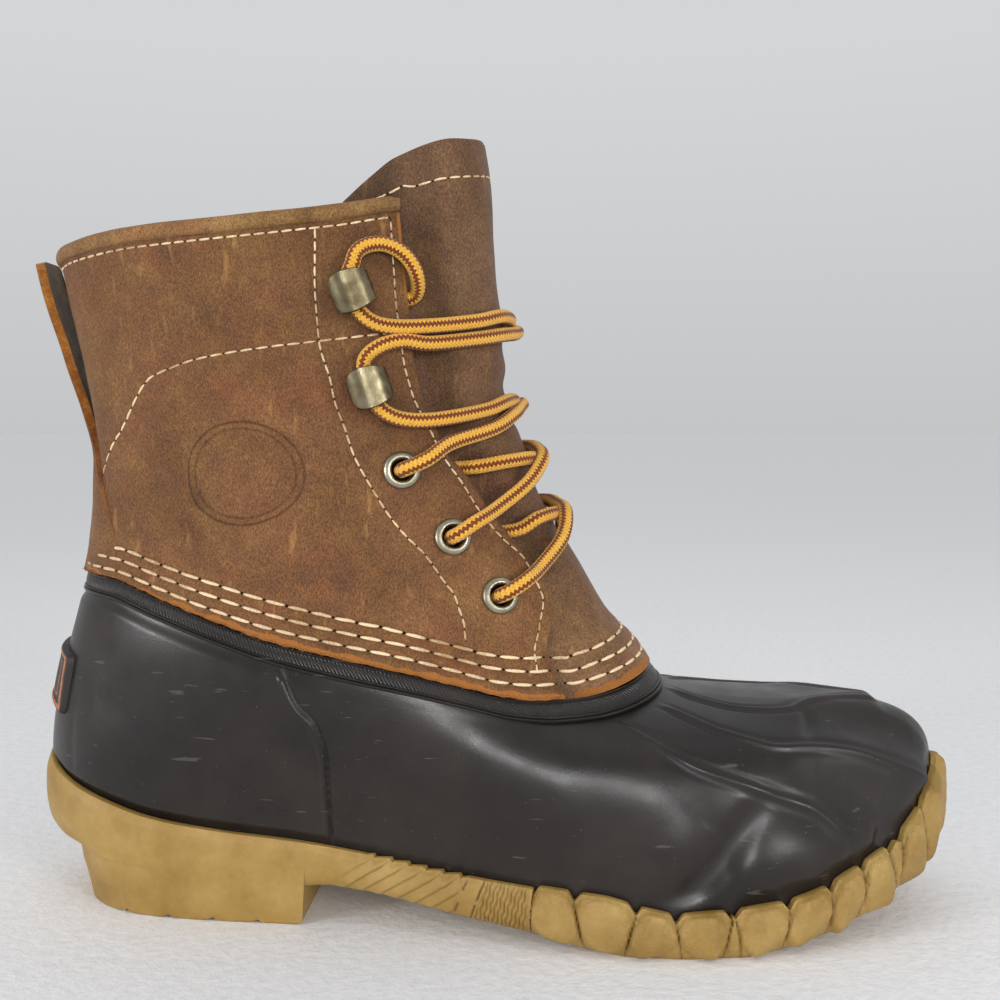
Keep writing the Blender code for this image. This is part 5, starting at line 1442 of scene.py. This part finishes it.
# Across the strip: share of the half width, and of the metal's thickness
HOOK_SECTION = ((1.0, 0.5), (0.94, 0.98), (0.80, 1.0), (0.40, 1.04), (0.0, 1.05), (-0.40, 1.04), (-0.80, 1.0),
                (-0.94, 0.98), (-1.0, 0.5), (-0.94, 0.04), (-0.80, 0.0), (0.0, 0.0),
                (0.80, 0.0), (0.94, 0.04),
                (1.0, 0.5))
HOOK_LEAN = math.radians(11)
path = smooth_route(HOOK_PATH, 4)
along = unit(np.gradient(path[:, :2], axis=0))
bend_out = np.stack((along[:, 1], -along[:, 0]), axis=-1)
for side_name, side in SIDES:
    for k, (angle, share) in enumerate(HOOKS):
        centre, normal, up = seat(angle, share * COLLAR_HEIGHT, side)
        fore = np.cross(up, normal) * side
        fore = fore if fore[0] > 0 else -fore
        fore, up = (fore * math.cos(HOOK_LEAN) + up * math.sin(HOOK_LEAN),
                    up * math.cos(HOOK_LEAN) - fore * math.sin(HOOK_LEAN))
        section = []
        for w, t in HOOK_SECTION:
            q = path[:, :2] + bend_out * (t - 0.5) * HOOK_METAL
            section.append(centre + fore * q[:, :1] + normal * (q[:, 1:] + GAP + 0.0014)
                           + up * (path[:, 2:] * w))
        p = np.array(section).transpose(1, 0, 2)
        first = np.repeat(p[:1].mean(axis=1, keepdims=True), p.shape[1], axis=1)
        last = np.repeat(p[-1:].mean(axis=1, keepdims=True), p.shape[1], axis=1)
        hook = skin("hook_%s_%d_bent" % (side_name, k + 1), np.concatenate((first, p, last)), [METAL],
                    flip=side > 0)
        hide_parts("hook_%s_%d" % (side_name, k + 1))


# Heel plate: a soft patch with a raised rim and a plain orange frame, nothing written on it
u, v = np.meshgrid(np.linspace(0, 1, 61), np.linspace(0, 1, 33))
# loop share that the plate spans across the heel, and its foot and top as height shares
PLATE_ACROSS = 0.110
PLATE_FROM, PLATE_TO = 0.33, 0.65
s_plate = (0.5 - u) * PLATE_ACROSS * (1 - 0.035 * np.abs(v * 2 - 1) ** 10)
base = shell_base(np.mod(s_plate, 1.0), PLATE_FROM + (PLATE_TO - PLATE_FROM) * v)
out = -facing(base)
edge_in = np.minimum(np.minimum(u, 1 - u) * PLATE_MM[0], np.minimum(v, 1 - v) * PLATE_MM[1])
thick = 0.00115 + 0.0017 * step(0.0, 0.6, edge_in) + 0.0004 * bump(edge_in - 1.6, 0.9)
ends = base - out * 0.0002
p = np.concatenate((ends[:1], base + out * thick[..., None], ends[-1:]))
inward = np.pad(out, ((1, 1), (0, 0), (0, 0)), mode="edge") * 0.0016
p = np.concatenate((p[:, :1] - inward[:, :1], p, p[:, -1:] - inward[:, -1:]), axis=1)
u, v = (np.pad(x, 1, mode="edge") for x in (u, v))
PLATE = plate_rubber()
plate = skin("heel_patch", p, [PLATE], uv=(u, v), flip=True)
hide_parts("heel_plate")


# Stitches: each one an arc of thread that dips into its holes, all of a row in one mesh
def joined(name, parts, material):
    """One mesh from many small grids of points, each a closed bag (rows, round)."""
    points, faces, start = [], [], 0
    for p in parts:
        high, wide = p.shape[:2]
        points.append(p.reshape(-1, 3))
        for r in range(high - 1):
            for c in range(wide):
                d = (c + 1) % wide
                faces.append((start + r * wide + c, start + r * wide + d, start + (r + 1) * wide + d,
                              start + (r + 1) * wide + c))
        faces.append(tuple(start + c for c in range(wide))[::-1])
        faces.append(tuple(start + (high - 1) * wide + c for c in range(wide)))
        start += high * wide
    mesh = bpy.data.meshes.new(name)
    mesh.from_pydata(np.concatenate(points).tolist(), [], faces)
    mesh.materials.append(material)
    piece = bpy.data.objects.new(name, mesh)
    bpy.context.scene.collection.objects.link(piece)
    for face in mesh.polygons:
        face.use_smooth = True
    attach(piece, ROOT)


THREAD_LIFT = 0.35


def thread_bags(line, out, pitch, thick, fill):
    """Stitches along a line of points with outward normals; also where their holes are."""
    reach = np.concatenate(((0.0,), np.cumsum(np.linalg.norm(np.diff(line, axis=0), axis=1))))
    count = max(int(round(reach[-1] / pitch)), 1)
    step_of = reach[-1] / count
    bags, holes = [], []
    ring = np.linspace(0, 2 * math.pi, 8, endpoint=False)
    lay = np.linspace(-0.5, 0.5, 8)

    def at(d):
        return (np.stack([np.interp(d, reach, line[:, i]) for i in range(3)], -1),
                unit(np.stack([np.interp(d, reach, out[:, i]) for i in range(3)], -1)))
    for k in range(count):
        mid = (k + 0.5) * step_of
        wobble = 0.05 * thick * math.sin(k * 12.9898)
        p, n = at(mid + lay * step_of * fill)
        t = unit(np.gradient(p, axis=0))
        b = unit(np.cross(n, t))
        arch = np.cos(lay * math.pi) ** 0.6
        size = thick / 2 * (0.62 + 0.38 * np.cos(lay * math.pi) ** 0.5)
        centre = (p + n * (thick * (THREAD_LIFT * arch - 0.30))[:, None]
                  + b * (wobble + 0.10 * thick * lay)[:, None])
        twist = 1 + 0.10 * np.cos(ring[None] * 2 + lay[:, None] * step_of * fill / thick * 3.6)
        around = b[:, None] * np.cos(ring)[None, :, None] + n[:, None] * np.sin(ring)[None, :, None]
        bags.append(centre[:, None] + around * (size[:, None] * twist)[..., None])
        holes.append(at(np.array(k * step_of)))
    holes.append(at(np.array(reach[-1])))
    return bags, holes


def hole_shade_bags(holes, radius):
    """Small dark cups of painted shade where the thread goes in, proud of the leather by a hair."""
    ring = np.linspace(0, 2 * math.pi, 8, endpoint=False)
    bags = []
    for p, n in holes:
        a = unit(np.cross(n, (0.0, 0.0, 1.0)))
        b = np.cross(n, a)
        around = np.outer(np.cos(ring), a) + np.outer(np.sin(ring), b)
        bags.append(np.array([p + n * h + around * r for r, h in
                              ((radius * 0.5, -0.0004), (radius, -0.0001), (radius * 0.4, 0.00010))]))
    return bags


def surface_of(p):
    """Finds the made surface nearest to each wanted point, with its normal."""
    flat = p.reshape(-1, 3)
    normals = facing(p).reshape(-1, 3)

    def find(wanted):
        spots, outs = [], []
        for q in wanted:
            d = ((flat - q) ** 2).sum(axis=1)
            four = np.argpartition(d, 4)[:4]
            share = 1 / (d[four] + 1e-9)
            share /= share.sum()
            n = unit((normals[four] * share[:, None]).sum(axis=0))
            c = (flat[four] * share[:, None]).sum(axis=0)
            spots.append(q + n * ((c - q) @ n))
            outs.append(n)
        return np.array(spots), np.array(outs)
    return find


on_leather = surface_of(leather_p)
on_tongue = surface_of(tongue_p)
# pitch, thread thickness in metres
HEAVY = (0.0073, 0.00105)
FINE = (0.0037, 0.00066)
QUARTER = (0.0049, 0.00072)
FACING_EDGE = (0.0034, 0.00062)
COLLAR_ROW = (0.0041, 0.00070)
thick_bags, fine_bags, hole_shade_cups = [], [], []


def sew(find, line, kind, into, fill=0.80):
    spots, outs = find(line)
    bags, holes = thread_bags(spots, outs, kind[0], kind[1], fill)
    into.extend(bags)
    hole_shade_cups.extend(hole_shade_bags(holes, kind[1] * 0.52))


for share in BAND_SHARES:
    for side in (1.0, -1.0):
        stop = float(facing_angle(np.array(0.085))) + 1.2
        a = np.linspace(180.0, stop, 220)
        sew(on_leather, shaft(side * a, row_height(a, share), 0.0008), HEAVY, thick_bags, 0.84)
    a = np.linspace(stop - 2.6, 2.6 - stop, 90)
    sew(on_tongue, shaft(a, row_height(a, share), 0.0008), HEAVY, thick_bags, 0.84)
for side in (1.0, -1.0):
    for table, kind in ((SIDE_SEAM, FINE), (QUARTER_SEAM, QUARTER), (FACING_SEAM, FACING_EDGE)):
        a, h = trace(table, 160)
        sew(on_leather, shaft(side * a, h), kind, fine_bags)
    a = np.linspace(176.0, 53.5, 200)
    sew(on_leather, shaft(side * a, collar_height(a) - 0.0056), COLLAR_ROW, fine_bags)
    if side > 0:
        a, h = trace(TONGUE_SEAM, 60)
        sew(on_tongue, shaft(np.concatenate((a, -a[::-1])), np.concatenate((h, h[::-1]))), QUARTER, fine_bags)
joined("band_stitches", thick_bags, THREAD)
joined("seam_stitches", fine_bags, THREAD)
joined("thread_hole_shade", hole_shade_cups, HOLE)

# Fibres that fray from the lower cut edge
rng = np.random.RandomState(11)
FIBRES = 900
HAIR_TURNS = (0.0, 2.1, 4.2)
HAIR_RADII = (0.00007, 0.00005, 0.00001)
hairs = []
cut_row = leather_p[2]
cut_out = facing(leather_p)[2]
for k in range(FIBRES):
    i = rng.randint(2, len(cut_row) - 2)
    p0 = cut_row[i] + (cut_row[i + 1] - cut_row[i]) * rng.rand() - np.array((0, 0, 0.0004)) * rng.rand()
    n = cut_out[i]
    t = unit(cut_row[i + 1] - cut_row[i - 1])
    reach = 0.0005 + 0.0011 * rng.rand() ** 2
    go = unit(n * (0.5 + 0.5 * rng.rand()) + np.array((0, 0, -0.9)) * rng.rand() + t * rng.uniform(-0.8, 0.8))
    bend_of = unit(np.cross(go, t)) * rng.uniform(-0.4, 0.4)
    line = [p0 + go * reach * q + bend_of * reach * q * q for q in (0.0, 0.5, 1.0)]
    a = unit(np.cross(go, n + 0.01))
    b = np.cross(go, a)
    around = np.outer(np.cos(HAIR_TURNS), a) + np.outer(np.sin(HAIR_TURNS), b)
    hairs.append(np.array([c + around * r for c, r in zip(line, HAIR_RADII)]))
joined("cut_edge_fibres", hairs, SUEDE)

# Plain pale floor and soft studio light
bpy.ops.mesh.primitive_plane_add(size=60.0, location=(0, 0, 0))
floor = bpy.context.object
floor.name = "studio_floor"
floor.data.materials.append(CLOTH)
world = bpy.data.worlds.new("studio")
bpy.context.scene.world = world
world.use_nodes = True
sky = world.node_tree.nodes["Background"]
tree = world.node_tree
way = add(tree, "SeparateXYZ", Vector=add(tree, "TexCoord").outputs["Generated"]).outputs
fade = ramp(tree, way[2], (0.0, "#c3c5c7"), (0.30, "#d4d5d7"))
# the room behind the camera is darker than the cloth behind the boot
plug(tree, sky.inputs["Color"], scaled(tree, fade, remap(tree, way[1], -0.75, -0.05, 0.84, 1.0)))
sky.inputs["Strength"].default_value = 1.0


def softbox(name, place, aim, wide, high, watts, spread=180.0):
    light = bpy.data.lights.new(name, "AREA")
    light.shape = "RECTANGLE"
    light.size = wide
    light.size_y = high
    light.energy = watts
    light.spread = math.radians(spread)
    lamp = bpy.data.objects.new(name, light)
    bpy.context.scene.collection.objects.link(lamp)
    lamp.location = place
    lamp.rotation_euler = (Vector(aim) - Vector(place)).to_track_quat("-Z", "Y").to_euler()


softbox("overhead", (0.1, -0.3, 1.5), (0.08, 0.0, 0.05), 1.4, 1.0, 1.2)
softbox("window_left", (-1.10, -0.80, 0.32), (0.0, 0.0, 0.11), 0.30, 0.40, 1.70, 90.0)
softbox("window_right", (1.0, -0.95, 0.36), (0.18, 0.0, 0.09), 0.24, 0.32, 1.25, 90.0)
softbox("window_front", (0.27, -1.35, 0.34), (0.16, 0.0, 0.10), 0.22, 0.30, 1.25, 90.0)
